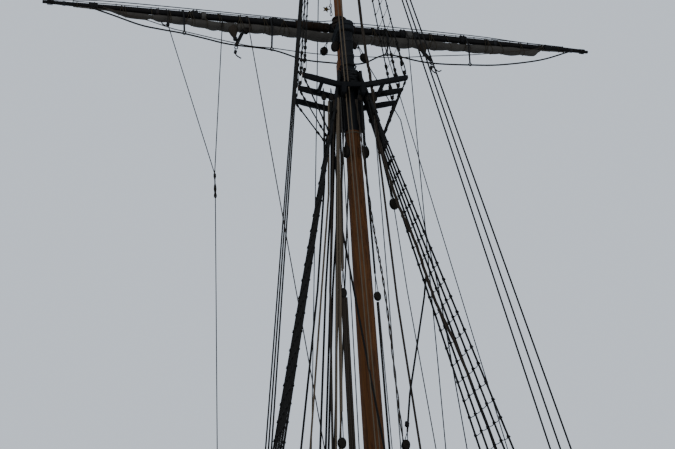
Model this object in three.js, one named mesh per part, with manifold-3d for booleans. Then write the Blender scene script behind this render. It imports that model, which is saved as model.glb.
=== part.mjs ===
// The rigged mast of a square-rigged tall ship, from the deck shoe to the truck, in millimetres.
// +X is starboard, +Y is forward and +Z is up. The origin is the middle of the deck shoe's underside.
// Both topsail yards are lowered, braced a little, and carry their furled sails.
import * as THREE from "three";
import { mergeVertices } from "three/addons/utils/BufferGeometryUtils.js";
import Module from "manifold-3d";

const wasm = await Module();
wasm.setup();

// Driving dimensions
const GAP = 0.3; // left between pieces that touch
const SHOE = { half: 450, thick: 30, ring: 262, ringTop: 280, bore: 216 };
const MAST = {
  // [height, radius]: a swelled spar, thickest a little above the deck
  profile: [[30.3, 212], [3000, 222], [7000, 205], [10000, 186], [12700, 157], [13400, 150], [15030, 138]],
  tenon: { r: 95, bottom: 14920, top: 15290 },
};
const BAND = { z: 1150, high: 60, outer: 300, pins: 12, pinDown: 170, pinUp: 190 };
const FIFE = { x: 1450, aft: -1150, fore: 250, z: 1010, deep: 70, wide: 180, post: 110, inner: 480 };
const FIFE_PIN = { step: 170, down: 200, up: 160, r: 13, headR: 16 };
const TREE = { z: 13400, deep: 200, wide: 100, x: 205.8, aft: -520, fore: 1160 };
const CROSS = { deep: 112, wide: 104, reach: 1110, sweep: 400, straight: 260 };
const CROSSTREES = { aft: -270, middle: 330, fore: 930 }; // y of each timber's middle
const CAP = { z: 15030.3, deep: 230, wide: 350, aft: -190, fore: 740 };
const TOPMAST = {
  y: 550, heel: 13280, heelHalf: 120, square: 14550, r: 96,
  hounds: 21900, houndR: 74, shoulder: 96, headR: 62, top: 25000, tipR: 42,
};
const SIDE = { x: 3100, deadeyeZ: 1060, hull: 2950, aft: -5120, fore: -180 }; // the ship's side
const SHROUDS = {
  ys: [-500, -1150, -1800, -2450, -3100], topYs: [120, 60, 0, -60, -120], topX: 205, topZ: 14000, r: 15,
};
const BACKSTAYS = {
  ys: [-3720, -4260, -4800], topYs: [530, 490, 450], topX: 142, topZ: 22196, rise: 26, r: 12,
};
const TOPSHROUDS = { topYs: [485, 520, 555], topX: 118, topZ: 22136, r: 10 };
const FUTTOCK = { staveZ: 12480, r: 12, inset: 45 };
const DEADEYE = { r: 95, thick: 72, gap: 620 };
const TOPDEADEYE = { r: 55, thick: 46, gap: 260 };
const FORESTAY = { topY: 190, topZ: 13640, footY: 7600, r: 17, apart: 70 };
const TOPMAST_STAY = { topY: 650, topZ: 22300, footY: 10600, r: 13 };
const HEART = { r: 120, thick: 90, up: 420 };
const PIN = { r: 26, bore: 27, lug: 60, fork: 55, halfLug: 40, clear: 6, plate: 30 };
const BRACE = THREE.MathUtils.degToRad(6.7); // both yards' port arms are hauled a little aft
const YARD_ARM = 300; // from a yard's pivot forward to its middle
const LOWER_YARD = { pivotY: 900, z: 15800, half: 6400, r: 85, tip: 42, sail: 122 };
const UPPER_YARD = { pivotY: 765, z: 17400, half: 5500, r: 80, tip: 40, sail: 108 };

// Finishes
const paint = (color, roughness, metalness = 0) =>
  new THREE.MeshStandardMaterial({ color, roughness, metalness });
const OILED_PINE = paint(0x8a5a34, 0.55);
const BLACK_PAINT = paint(0x17181a, 0.5);
const BLACK_IRON = paint(0x1b1c1e, 0.55, 0.6);
const TARRED_ROPE = paint(0x16150f, 0.85);
const ELM = paint(0x2b2723, 0.7);
const CANVAS = paint(0xb9b6aa, 0.95);

const V = (x, y, z) => new THREE.Vector3(x, y, z);
const Z = V(0, 0, 1);

// The triangles left once points closer than the tolerance are one
function welded(geometry, tolerance) {
  const merged = mergeVertices(geometry, tolerance);
  const index = merged.index.array;
  const faces = [];
  for (let i = 0; i < index.length; i += 3) {
    const [a, b, c] = [index[i], index[i + 1], index[i + 2]];
    if (a !== b && b !== c && c !== a) faces.push(a, b, c);
  }
  merged.setIndex(faces);
  return merged;
}

// A closed three.js geometry as a solid that can be joined and cut
function solid(geometry) {
  const bare = geometry.clone();
  bare.deleteAttribute("normal");
  bare.deleteAttribute("uv");
  const g = welded(bare, 1e-3);
  const vertProperties = g.attributes.position.array;
  const triVerts = new Uint32Array(g.index.array);
  return new wasm.Manifold(new wasm.Mesh({ numProp: 3, vertProperties, triVerts }));
}

const join = (solids) => solids.reduce((a, b) => a.add(b));

// The solid as a geometry, mirrored across the middle line where side is -1
function geometryOf(manifold, side) {
  const mesh = manifold.getMesh();
  const position = new Float32Array(mesh.vertProperties);
  const index = new Uint32Array(mesh.triVerts);
  if (side < 0) {
    for (let i = 0; i < position.length; i += 3) position[i] = -position[i];
    index.reverse();
  }
  const g = new THREE.BufferGeometry();
  g.setAttribute("position", new THREE.BufferAttribute(position, 3));
  g.setIndex(new THREE.BufferAttribute(index, 1));
  const clean = welded(g, 0.05);
  clean.computeVertexNormals();
  return clean;
}

const group = new THREE.Group();

function piece(name, manifold, material, { side = 1, parent = group } = {}) {
  const mesh = new THREE.Mesh(geometryOf(manifold, side), material);
  mesh.name = name;
  parent.add(mesh);
}

// Basic forms, each placed where it belongs
function box(x0, x1, y0, y1, z0, z1) {
  const g = new THREE.BoxGeometry(x1 - x0, y1 - y0, z1 - z0);
  return solid(g.translate((x0 + x1) / 2, (y0 + y1) / 2, (z0 + z1) / 2));
}

function bar(from, to, r0, r1 = r0, sides = 6) {
  const length = from.distanceTo(to);
  const g = new THREE.CylinderGeometry(r1, r0, length, sides).translate(0, length / 2, 0);
  const turn = new THREE.Quaternion().setFromUnitVectors(V(0, 1, 0), to.clone().sub(from).normalize());
  return solid(g.applyQuaternion(turn).translate(from.x, from.y, from.z));
}

function disc(centre, axis, r, thick, sides = 10) {
  const half = axis.clone().normalize().multiplyScalar(thick / 2);
  return bar(centre.clone().sub(half), centre.clone().add(half), r, r, sides);
}

// A round form on a vertical axis at (0, y), from [height, radius] pairs
function lathe(profile, sides, y = 0) {
  const points = [[profile[0][0], 0], ...profile, [profile.at(-1)[0], 0]];
  const g = new THREE.LatheGeometry(points.map(([z, r]) => new THREE.Vector2(r, z)), sides);
  return solid(g.rotateX(Math.PI / 2).translate(0, y, 0));
}

const ring = (z0, z1, inner, outer, sides, y = 0) =>
  lathe([[z0, outer], [z1, outer]], sides, y).subtract(lathe([[z0 - 5, inner], [z1 + 5, inner]], sides, y));

// A round form on an axis along X through (y, z), from [place, radius] pairs
function latheAlongX(profile, sides, y = 0, z = 0) {
  const points = [[profile[0][0], 0], ...profile, [profile.at(-1)[0], 0]];
  const g = new THREE.LatheGeometry(points.map(([x, r]) => new THREE.Vector2(r, x)), sides);
  return solid(g.rotateZ(-Math.PI / 2).translate(0, y, z));
}

const outline = (points) => new THREE.Shape(points.map(([x, y]) => new THREE.Vector2(x, y)));
const extruded = (shape, depth) =>
  new THREE.ExtrudeGeometry(shape, { depth, bevelEnabled: false, curveSegments: 8 });

// A flat outline in X and Y, raised from z0 by deep
const slab = (shape, z0, deep) => solid(extruded(shape, deep).translate(0, 0, z0));

// An outline in Y and Z, given thickness along X from x0
const plateYZ = (shape, x0, thick) =>
  solid(extruded(shape, thick).rotateX(Math.PI / 2).rotateZ(Math.PI / 2).translate(x0, 0, 0));

// An outline in X and Z, given thickness along Y about the middle y
const plateXZ = (shape, y, thick) =>
  solid(extruded(shape, thick).rotateX(Math.PI / 2).translate(0, y + thick / 2, 0));

// Deck shoe: a square plate with a round socket for the heel
function mastShoe() {
  const { half, thick, ring: outer, ringTop, bore } = SHOE;
  const web = outline([
    [outer - 12, thick - 4], [half - 20, thick - 4], [outer - 6, ringTop - 40], [outer - 12, ringTop - 40],
  ]);
  const webs = [0, 1, 2, 3].map((i) =>
    solid(extruded(web, 16).rotateX(Math.PI / 2).translate(0, 8, 0).rotateZ((i * Math.PI) / 2)),
  );
  const plate = box(-half, half, -half, half, 0, thick);
  return join([plate, lathe([[0, outer], [ringTop, outer]], 24), ...webs])
    .subtract(lathe([[thick, bore], [ringTop + 5, bore]], 24));
}

const mastSolid = (extra) => lathe(MAST.profile.map(([z, r]) => [z, r + extra]), 20);

function lowerMast() {
  const { r, bottom, top } = MAST.tenon;
  return mastSolid(0).add(lathe([[bottom, r], [top, r]], 16));
}

// Iron band low on the mast, with belaying pins standing in it
function spiderBand() {
  const { z, high, outer, pins, pinDown, pinUp } = BAND;
  const band = lathe([[z, outer - 45], [z + 8, outer], [z + high - 8, outer], [z + high, outer - 45]], 24);
  const row = Array.from({ length: pins }, (_, i) => {
    const a = ((i + 0.5) / pins) * Math.PI * 2;
    const [x, y] = [Math.cos(a) * (outer - 26), Math.sin(a) * (outer - 26)];
    return bar(V(x, y, z - pinDown), V(x, y, z + pinUp), 12, 15);
  });
  return join([band, ...row]).subtract(lathe([[z - 5, 218], [z + high + 5, 218]], 20));
}

// Fife rail: three rails on posts round the after side of the mast, full of belaying pins
const fifePost = (x, y, half = FIFE.post / 2) => box(x - half, x + half, y - half, y + half, 0, FIFE.z - GAP);
const FIFE_POSTS = {
  inner: [FIFE.inner, FIFE.aft], aft: [FIFE.x, FIFE.aft], fore: [FIFE.x, FIFE.fore - FIFE.post],
};

function fifePin(x, y) {
  const { down, up, r, headR } = FIFE_PIN;
  return bar(V(x, y, FIFE.z - down), V(x, y, FIFE.z + FIFE.deep + up), r, headR);
}

function fifeRailAft() {
  const { x, aft, z, deep, wide } = FIFE;
  const reach = x - wide / 2 - GAP;
  const parts = [box(-reach, reach, aft - wide / 2, aft + wide / 2, z, z + deep)];
  for (let at = FIFE_PIN.step / 2; at < reach; at += FIFE_PIN.step) {
    if (Math.abs(at - FIFE.inner) > FIFE.post) parts.push(fifePin(-at, aft), fifePin(at, aft));
  }
  return join(parts);
}

function fifeRailSide() {
  const { x, aft, fore, z, deep, wide, post } = FIFE;
  const parts = [box(x - wide / 2, x + wide / 2, aft - wide / 2, fore, z, z + deep)];
  for (let at = aft + FIFE_PIN.step; at < fore - 1.5 * post; at += FIFE_PIN.step) parts.push(fifePin(x, at));
  return join(parts);
}

// Cheek: the knee-shaped plank on each side of the mast that carries a trestletree
function cheek() {
  const top = TREE.z - GAP;
  const shape = new THREE.Shape();
  shape.moveTo(-150, top);
  shape.lineTo(-120, 12700);
  shape.lineTo(60, 12700);
  shape.lineTo(150, 13000);
  shape.quadraticCurveTo(260, 13230, 700, top - 60);
  shape.lineTo(700, top);
  shape.closePath();
  return plateYZ(shape, 124, 126).subtract(mastSolid(0.5));
}

function trestletree() {
  const { z, deep, x, wide, aft, fore } = TREE;
  const blank = outline([
    [aft, z + 70], [aft + 90, z], [fore - 90, z], [fore, z + 70], [fore, z + deep], [aft, z + deep],
  ]);
  return plateYZ(blank, x - wide / 2, wide);
}

// Crosstree: a swept timber lying across both trestletrees
function crosstree(y) {
  const { reach, sweep, straight, wide, deep } = CROSS;
  const half = wide / 2;
  const tip = half - 12;
  const shape = outline([
    [-reach, y - sweep - tip], [-straight, y - half], [straight, y - half], [reach, y - sweep - tip],
    [reach, y - sweep + tip], [straight, y + half], [-straight, y + half], [-reach, y - sweep + tip],
  ]);
  return slab(shape, TREE.z + TREE.deep + GAP, deep);
}

// Cap: holds the mast's tenon in its after hole and the topmast in its fore hole
function lowerCap() {
  const { z, deep, wide, aft, fore } = CAP;
  const plan = (grow) => {
    const s = new THREE.Shape();
    const r = wide / 2 + grow;
    s.absarc(0, fore - wide / 2, r, 0, Math.PI, false);
    s.absarc(0, aft + wide / 2, r, Math.PI, Math.PI * 2, false);
    return s;
  };
  const holes = [[0, MAST.tenon.r + 1], [TOPMAST.y, TOPMAST.r + 12]];
  return join([slab(plan(0), z, deep), slab(plan(9), z + 70, 80)])
    .subtract(join(holes.map(([y, r]) => lathe([[z - 5, r], [z + deep + 5, r]], 16, y))));
}

// Fid: the iron bar through the topmast's heel that rests on the trestletrees
function fid(extra = 0) {
  const z = TREE.z + TREE.deep + GAP;
  const [x, half] = [280 + extra, 32 + extra];
  return box(-x, x, TOPMAST.y - half, TOPMAST.y + half, z - extra, z + 70 + extra);
}

function topmast() {
  const { y, heel, heelHalf, square, r, hounds, houndR, shoulder, headR, top, tipR } = TOPMAST;
  const profile = [
    [square - 200, r], [hounds - 120, houndR], [hounds - 20, shoulder],
    [hounds + 150, shoulder], [hounds + 185, headR], [top, tipR],
  ];
  const foot = box(-heelHalf, heelHalf, y - heelHalf, y + heelHalf, heel, square);
  return lathe(profile, 16, y).add(foot).subtract(fid(1));
}

function truck() {
  const { top, y } = TOPMAST;
  return lathe([[top + GAP, 62], [top + 16, 88], [top + 46, 88], [top + 70, 50]], 12, y);
}

// A rope set up with a pair of deadeyes: the rope, the upper deadeye and the lanyard below it
function setUp(head, foot, r, eye, lanyard, lanyardFrom = eye.r + 3) {
  const unit = head.clone().sub(foot).normalize();
  const upper = foot.clone().addScaledVector(unit, eye.gap);
  const face = V(unit.z, 0, -unit.x);
  return {
    parts: [
      bar(upper, head, r),
      disc(upper, face, eye.r, eye.thick),
      bar(foot.clone().addScaledVector(unit, lanyardFrom), upper, lanyard, lanyard, 4),
    ],
    at: (up) => upper.clone().addScaledVector(unit, up),
  };
}

const reachOut = (from, to, more) => to.clone().sub(from).setLength(more).add(to);
const pole = (a, b, r) => bar(reachOut(b, a, 110), reachOut(a, b, 110), r);

// One side's lower shrouds, with their eyes heaped on the trestletree and a sheer pole
function lowerShrouds() {
  const { ys, topYs, topX, topZ, r } = SHROUDS;
  const legs = ys.map((y, i) => setUp(V(topX, topYs[i], topZ), V(SIDE.x, y, SIDE.deadeyeZ), r, DEADEYE, 30));
  const eyes = box(158, 240, -150, 150, TREE.z + TREE.deep + GAP, topZ + 130);
  const [first, last] = [legs[0], legs.at(-1)].map((leg) => leg.at(210).add(V(17, 0, 3)));
  return join([eyes, ...legs.flatMap((leg) => leg.parts), pole(first, last, 19)]);
}

// One side's channel: the plank on the ship's side, with chainplates and lower deadeyes
function channel() {
  const { x, deadeyeZ, hull, aft, fore } = SIDE;
  const board = outline([[hull, aft], [x + 60, aft + 80], [x + 60, fore - 80], [hull, fore]]);
  const strap = outline([
    [x - 10, 1000], [x - 10, 822], [hull, 396], [hull, 40],
    [hull + 18, 40], [hull + 18, 392], [x + 8, 818], [x + 8, 1000],
  ]);
  const chains = [...SHROUDS.ys, ...BACKSTAYS.ys].flatMap((y) => [
    plateXZ(strap, y, 56),
    disc(V(x, y, deadeyeZ), V(1, 0, 0.22), DEADEYE.r, DEADEYE.thick),
  ]);
  return join([slab(board, 850, 80), ...chains]);
}

const crossEnds = Object.values(CROSSTREES).map((y) => {
  const { reach, sweep, straight } = CROSS;
  const x = reach - FUTTOCK.inset;
  return V(x, y - (sweep * (x - straight)) / (reach - straight), 0);
});

// One side's futtock shrouds: from the crosstree ends in to a stave across the lower shrouds
function futtockShrouds() {
  const { staveZ: z, r } = FUTTOCK;
  const t = (SHROUDS.topZ - z) / (SHROUDS.topZ - SIDE.deadeyeZ);
  const x = SHROUDS.topX + (SIDE.x - SHROUDS.topX) * t + SHROUDS.r + 20;
  const yAt = (i) => SHROUDS.topYs.at(i) + (SHROUDS.ys.at(i) - SHROUDS.topYs.at(i)) * t;
  const [aft, fore] = [V(x, yAt(-1), z), V(x, yAt(0), z)];
  const top = TREE.z + TREE.deep - 8;
  const legs = crossEnds.map((end, i) => bar(aft.clone().lerp(fore, i / 2), V(end.x, end.y, top), r));
  return join([pole(aft, fore, 16), ...legs]);
}

// One side's topmast shrouds, set up with small deadeyes on the crosstree ends
function topmastShrouds() {
  const { topYs, topX, topZ, r } = TOPSHROUDS;
  const base = TREE.z + TREE.deep + CROSS.deep + 6;
  const parts = [box(66, 130, TOPMAST.y - 85, TOPMAST.y + 85, TOPMAST.hounds + 192, TOPMAST.hounds + 280)];
  const rail = [];
  crossEnds.forEach((end, i) => {
    const head = V(topX, topYs[i], topZ);
    const strop = V(end.x, end.y, base);
    const lower = strop.clone().lerp(head, (TOPDEADEYE.r + 8) / head.distanceTo(strop));
    const leg = setUp(head, lower, r, TOPDEADEYE, 17, 0);
    parts.push(...leg.parts, bar(strop, lower, 14));
    parts.push(disc(lower, V(1, 0, 0.12), TOPDEADEYE.r, TOPDEADEYE.thick, 8));
    rail.push(leg.at(150));
  });
  return join([...parts, pole(rail[0], rail[2], 12)]);
}

// A topmast backstay, from the half collar of its eye at the masthead down to the channel
function backstay(i) {
  const { ys, topYs, topX, topZ, rise, r } = BACKSTAYS;
  const [y, z] = [topYs[i], topZ + rise * i];
  const leg = setUp(V(topX, y, z), V(SIDE.x, ys[i], SIDE.deadeyeZ), r, DEADEYE, 30);
  const collar = ring(z - 12, z + 12, 64, 96, 16, TOPMAST.y).subtract(box(-200, 1, 0, 1000, z - 50, z + 50));
  const tongue = outline([
    [70, TOPMAST.y - 10], [50, TOPMAST.y - 70], [topX + 12, y - 12], [topX + 12, y + 12],
  ]);
  return join([collar, slab(tongue, z - 12, 24), ...leg.parts]);
}

const stayUnit = ({ topY, topZ, footY }) => V(0, topY - footY, topZ).normalize();

// A stay's leg or legs, up from the heart that is lashed to the deck
function stayLegs(stay, apart) {
  const foot = V(0, stay.footY, 0).addScaledVector(stayUnit(stay), HEART.up);
  const legs = apart.map((x) => bar(V(x / 2, foot.y, foot.z), V(x, stay.topY, stay.topZ), stay.r));
  return [disc(foot, V(1, 0, 0), HEART.r, HEART.thick), ...legs];
}

// The forestay's collar lies on the masthead and leads down between the trestletrees
function forestay() {
  const { apart, topY, topZ } = FORESTAY;
  const collar = ring(14160, 14250, 152, 205, 20);
  const strap = box(-apart - 20, apart + 20, topY - 28, topY + 15, topZ - 40, 14200);
  return join([...stayLegs(FORESTAY, [-apart, apart]), strap, collar]);
}

function topmastStay() {
  const { topZ } = TOPMAST_STAY;
  return join([...stayLegs(TOPMAST_STAY, [0]), ring(topZ - 36, topZ + 36, 64, 125, 16, TOPMAST.y)]);
}

// Deck plate with an eye, where a stay's heart is lashed down
function deckPlate(stay) {
  const unit = stayUnit(stay);
  const base = V(0, stay.footY, 0);
  const eye = base.clone().addScaledVector(unit, 90);
  const plate = box(-130, 130, stay.footY - 200, stay.footY + 200, 0, 24);
  const lashing = bar(eye, base.clone().addScaledVector(unit, HEART.up - HEART.r - 3), 34, 34, 4);
  return join([plate, disc(eye, V(1, 0, 0), 80, 50), lashing])
    .subtract(box(-200, 200, stay.footY - 300, stay.footY + 300, -100, 0));
}

// Leading block hanging on its pendant below the crosstrees, abreast of the mast
function hangingBlock() {
  const centre = V(200, -235, 12140);
  const shell = new THREE.SphereGeometry(1, 10, 8).scale(58, 90, 122).rotateZ(-0.6);
  const pendant = bar(centre, V(214, -235, TREE.z - 3), 13);
  return join([solid(shell.translate(centre.x, centre.y, centre.z)), pendant]);
}

// Lug: the tongue, reaching forward from y to its pivot, that a yard's pin stands in
const lug = (y, { pivotY, z }) =>
  join([disc(V(0, pivotY, z), Z, PIN.lug, PIN.halfLug * 2, 16), box(-50, 50, y, pivotY, z - 40, z + 40)]);

// Truss crane: the bracket on the cap's fore end that the lower topsail yard turns on
function trussCrane() {
  const { pivotY, z } = LOWER_YARD;
  const foot = box(-80, 80, 752, 792, CAP.z + 40, CAP.z + 200);
  const riser = box(-40, 40, 770, 832, CAP.z + 90, z + 40);
  return join([lug(790, LOWER_YARD), foot, riser]).subtract(disc(V(0, pivotY, z), Z, PIN.bore, 200, 16));
}

// Parrel: the leathered hoop that slides on the topmast and carries the upper topsail yard
function parrel() {
  const { pivotY, z } = UPPER_YARD;
  const hoop = ring(z - 60, z + 60, 95, 132, 20, TOPMAST.y);
  return join([hoop, lug(670, UPPER_YARD)])
    .subtract(lathe([[z - 80, 95], [z + 80, 95]], 20, TOPMAST.y))
    .subtract(disc(V(0, pivotY, z), Z, PIN.bore, 200, 16));
}

// Yoke: the fork and pin at a yard's pivot, with the strap round the yard; the pivot is its origin
function yoke({ r }) {
  const { fork, halfLug, clear, plate, r: pinR } = PIN;
  const inner = halfLug + clear;
  const outer = inner + plate;
  const cheeks = [[inner, outer], [-outer, -inner]].flatMap(([z0, z1]) => [
    disc(V(0, 0, (z0 + z1) / 2), Z, fork, plate, 16),
    box(-48, 48, 0, YARD_ARM, z0, z1),
  ]);
  const strap = latheAlongX([[-60, r + 26], [60, r + 26]], 16, YARD_ARM);
  const pin = disc(V(0, 0, 0), Z, pinR, 2 * outer, 16);
  return join([...cheeks, pin, strap]).subtract(latheAlongX([[-90, r + 3], [90, r + 3]], 16, YARD_ARM));
}

// Yard: tapers outwards, with iron bands at its quarters and arms
function yard({ half, r, tip }) {
  const stations = [
    [0, r], [0.25, r * 0.97], [0.5, r * 0.88], [0.75, r * 0.72], [0.94, tip], [1, tip * 0.86],
  ];
  const arm = stations.slice(1).reverse().map(([t, q]) => [-t * half, q]);
  const bands = [[0.035, 8], [0.62, 8], [0.93, 14]].flatMap(([at, grow]) => {
    const local = stations.findLast(([t]) => t <= at)[1] + grow;
    const band = (x) => latheAlongX([[x - 40, local], [x + 40, local]], 12, YARD_ARM);
    return [band(-at * half), band(at * half)];
  });
  return join([latheAlongX([...arm, ...stations.map(([t, q]) => [t * half, q])], 12, YARD_ARM), ...bands]);
}

// Furled sail: a lumpy roll hanging under the yard, fullest at the middle
function furledSail({ half, r, tip, sail }) {
  const reach = half * 0.9;
  const steps = 30;
  const sides = 9;
  const roll = (x) => sail * (1 - 0.74 * (Math.abs(x) / reach) ** 1.8);
  const profile = Array.from({ length: steps + 1 }, (_, i) => {
    const x = -reach + (2 * reach * i) / steps;
    const lump = 1 + 0.07 * Math.sin(x * 0.0071) + 0.04 * Math.sin(x * 0.0163 + 1);
    return [roll(x) * lump, x];
  });
  const points = [[0, -reach], ...profile, [0, reach]].map(([q, x]) => new THREE.Vector2(q, x));
  const g = new THREE.LatheGeometry(points, sides).rotateZ(-Math.PI / 2);
  const position = g.attributes.position;
  for (let i = 0; i < position.count; i++) {
    const x = position.getX(i);
    const spar = r + 32 - (r - tip) * (Math.abs(x) / half) ** 2.2;
    position.setY(i, position.getY(i) + YARD_ARM);
    position.setZ(i, position.getZ(i) - spar - roll(x) * 1.12);
  }
  return solid(g);
}

// A yard with its yoke and sail, in the frame of its pivot
function crossYard(name, spec) {
  const frame = new THREE.Group();
  frame.position.set(0, spec.pivotY, spec.z);
  frame.rotation.z = BRACE;
  group.add(frame);
  piece(`${name}_yoke`, yoke(spec), BLACK_IRON, { parent: frame });
  piece(`${name}_yard`, yard(spec), BLACK_PAINT, { parent: frame });
  piece(`${name}_furled_sail`, furledSail(spec), CANVAS, { parent: frame });
}

piece("mast_shoe", mastShoe(), BLACK_IRON);
piece("lower_mast", lowerMast(), OILED_PINE);
piece("spider_band", spiderBand(), BLACK_IRON);
piece("fife_rail_aft", fifeRailAft(), OILED_PINE);
piece("lower_cap", lowerCap(), BLACK_PAINT);
piece("topmast", topmast(), OILED_PINE);
piece("topmast_fid", fid(), BLACK_IRON);
piece("truck", truck(), BLACK_PAINT);
for (const [name, y] of Object.entries(CROSSTREES)) {
  piece(`crosstree_${name}`, crosstree(y), BLACK_PAINT);
}
for (const [name, side] of [["port", -1], ["starboard", 1]]) {
  piece(`cheek_${name}`, cheek(), BLACK_PAINT, { side });
  piece(`trestletree_${name}`, trestletree(), BLACK_PAINT, { side });
  piece(`fife_rail_side_${name}`, fifeRailSide(), OILED_PINE, { side });
  for (const [at, spot] of Object.entries(FIFE_POSTS)) {
    piece(`fife_post_${at}_${name}`, fifePost(...spot), OILED_PINE, { side });
  }
  piece(`lower_shrouds_${name}`, lowerShrouds(), TARRED_ROPE, { side });
  piece(`channel_${name}`, channel(), BLACK_PAINT, { side });
  piece(`futtock_shrouds_${name}`, futtockShrouds(), TARRED_ROPE, { side });
  piece(`topmast_shrouds_${name}`, topmastShrouds(), TARRED_ROPE, { side });
  for (const i of BACKSTAYS.ys.keys()) piece(`backstay_${name}_${i + 1}`, backstay(i), TARRED_ROPE, { side });
  piece(`hanging_block_${name}`, hangingBlock(), ELM, { side });
}
piece("forestay", forestay(), TARRED_ROPE);
piece("forestay_deck_plate", deckPlate(FORESTAY), BLACK_IRON);
piece("topmast_stay", topmastStay(), TARRED_ROPE);
piece("topmast_stay_deck_plate", deckPlate(TOPMAST_STAY), BLACK_IRON);
piece("truss_crane", trussCrane(), BLACK_IRON);
piece("parrel", parrel(), BLACK_IRON);
crossYard("lower_topsail", LOWER_YARD);
crossYard("upper_topsail", UPPER_YARD);

export default group;
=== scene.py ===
import math

import bpy
import numpy as np
from mathutils import Matrix, Vector, noise
from mathutils.geometry import convex_hull_2d


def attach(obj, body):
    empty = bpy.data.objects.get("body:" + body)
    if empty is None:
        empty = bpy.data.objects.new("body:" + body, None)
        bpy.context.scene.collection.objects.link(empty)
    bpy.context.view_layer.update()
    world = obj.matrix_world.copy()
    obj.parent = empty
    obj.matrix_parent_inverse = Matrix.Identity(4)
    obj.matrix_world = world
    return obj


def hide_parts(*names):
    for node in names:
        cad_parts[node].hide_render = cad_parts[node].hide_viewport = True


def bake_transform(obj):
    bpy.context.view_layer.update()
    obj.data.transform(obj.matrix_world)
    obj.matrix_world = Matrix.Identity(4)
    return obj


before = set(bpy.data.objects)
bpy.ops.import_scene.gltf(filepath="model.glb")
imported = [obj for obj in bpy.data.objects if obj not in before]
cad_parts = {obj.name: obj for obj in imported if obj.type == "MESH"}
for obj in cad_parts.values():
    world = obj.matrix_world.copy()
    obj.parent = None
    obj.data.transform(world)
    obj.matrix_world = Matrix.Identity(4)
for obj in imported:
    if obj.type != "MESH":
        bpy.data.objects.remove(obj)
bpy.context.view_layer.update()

# Places in metres, on the mast's own axes: +X starboard, +Y forward, +Z up from the deck
MAST = [(0.0303, 0.212), (3, 0.222), (7, 0.205), (10, 0.186), (12.7, 0.157), (13.4, 0.150), (15.03, 0.138)]
MAST_PAINT, TOPMAST_PAINT = 12.68, 21.86
CROSSTREES = {"aft": -0.27, "middle": 0.33, "fore": 0.93}
CAP = {"z": 15.0303, "deep": 0.23, "wide": 0.35, "aft": -0.19, "fore": 0.74}
TOPMAST_Y = 0.55
SIDE_X, DEADEYE_Z, HULL_X = 3.1, 1.06, 2.95
SHEER_POLE_Z, FUTTOCK_Z = 1.92, 12.48
SHROUD_FEET = [-0.5, -1.15, -1.8, -2.45, -3.1]
SHROUD_HEADS = [0.12, 0.06, 0, -0.06, -0.12]
SHROUD_TOP = (0.205, 14.0)
BACKSTAY_FEET = [-3.72, -4.26, -4.8]
BACKSTAY_HEADS = [0.53, 0.49, 0.45]
SHROUD_R, BACKSTAY_R, TOPMAST_SHROUD_R = 0.021, 0.016, 0.014
STAYS = {
    "forestay": {"top": (0.19, 13.64), "foot": 7.6, "r": 0.017, "apart": (-0.07, 0.07)},
    "topmast_stay": {"top": (0.65, 22.3), "foot": 10.6, "r": 0.013, "apart": (0,)},
}
RAIL_X, RAIL_Y, PIN_Z, LEAD_Y = 1.45, -1.15, 1.2, -0.3
AFT_PINS = [side * x for x in (0.085, 0.255, 0.595, 0.765, 0.935, 1.105, 1.275) for side in (-1, 1)]
SIDE_PINS = [-0.98, -0.81, -0.64, -0.47, -0.3, -0.13, 0.04]

# How a rope is set up: its deadeyes and their distance, the turn round the upper one, and its seizings
SHROUD_SET = {
    "gap": 0.62, "eye": (0.095, 0.072), "bight": 0.09, "steps": 12, "nip": 0.18, "rise": (0.6, 0.75),
    "apart": (0.005, 0.007, 2.1), "ups": (0, 0.3, 0.62), "turns": (0.045, 2.2, 0.013),
}
TOPMAST_SET = {
    "gap": 0.26, "eye": (0.055, 0.046), "bight": 0.052, "steps": 10, "nip": 0.12, "rise": (0.4, 0.45),
    "apart": (0.004, 0.006, 2), "ups": (0, 0.2, 0.38), "turns": (0.03, 0.031 / 0.014, 0.011),
}

BRACE = math.radians(6.7)
YARD_ARM = 0.3
YARDS = {
    "lower_topsail": {
        "y": 0.9, "z": 15.8, "half": 6.4, "r": 0.085, "tip": 0.042, "sail": 0.122, "fuller": 0.14, "drop": 1,
        "gaskets": [
            -5.68, -5.3, -4.75, -4.1, -3.75, -3.3, -2.9, -2.6, -2.2, -1.95, -1.6, -1.2, -0.75,
            0.35, 0.9, 1.35, 1.9, 2.3, 2.75, 3.2, 3.7, 4.1, 4.6, 5.1, 5.6,
        ],
    },
    "upper_topsail": {
        "y": 0.765, "z": 17.4, "half": 5.5, "r": 0.08, "tip": 0.04, "sail": 0.108, "fuller": 0.0, "drop": 0.6,
        "gaskets": [-4.86, -4.5, -3.8, -3.1, -2.4, -1.7, -1.0, -0.4, 0.4, 1.0, 1.7, 2.4, 3.1, 3.8, 4.5, 4.8],
    },
}
LOWER = YARDS["lower_topsail"]
SAIL_REACH = 0.9
ROLL_TURNS, ROLL_LENGTH, SAIL_SHARE = 5, 2.6, 0.62
SIDES = {"port": -1, "starboard": 1}
SKY = (0.60, 0.66, 0.74)

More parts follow.
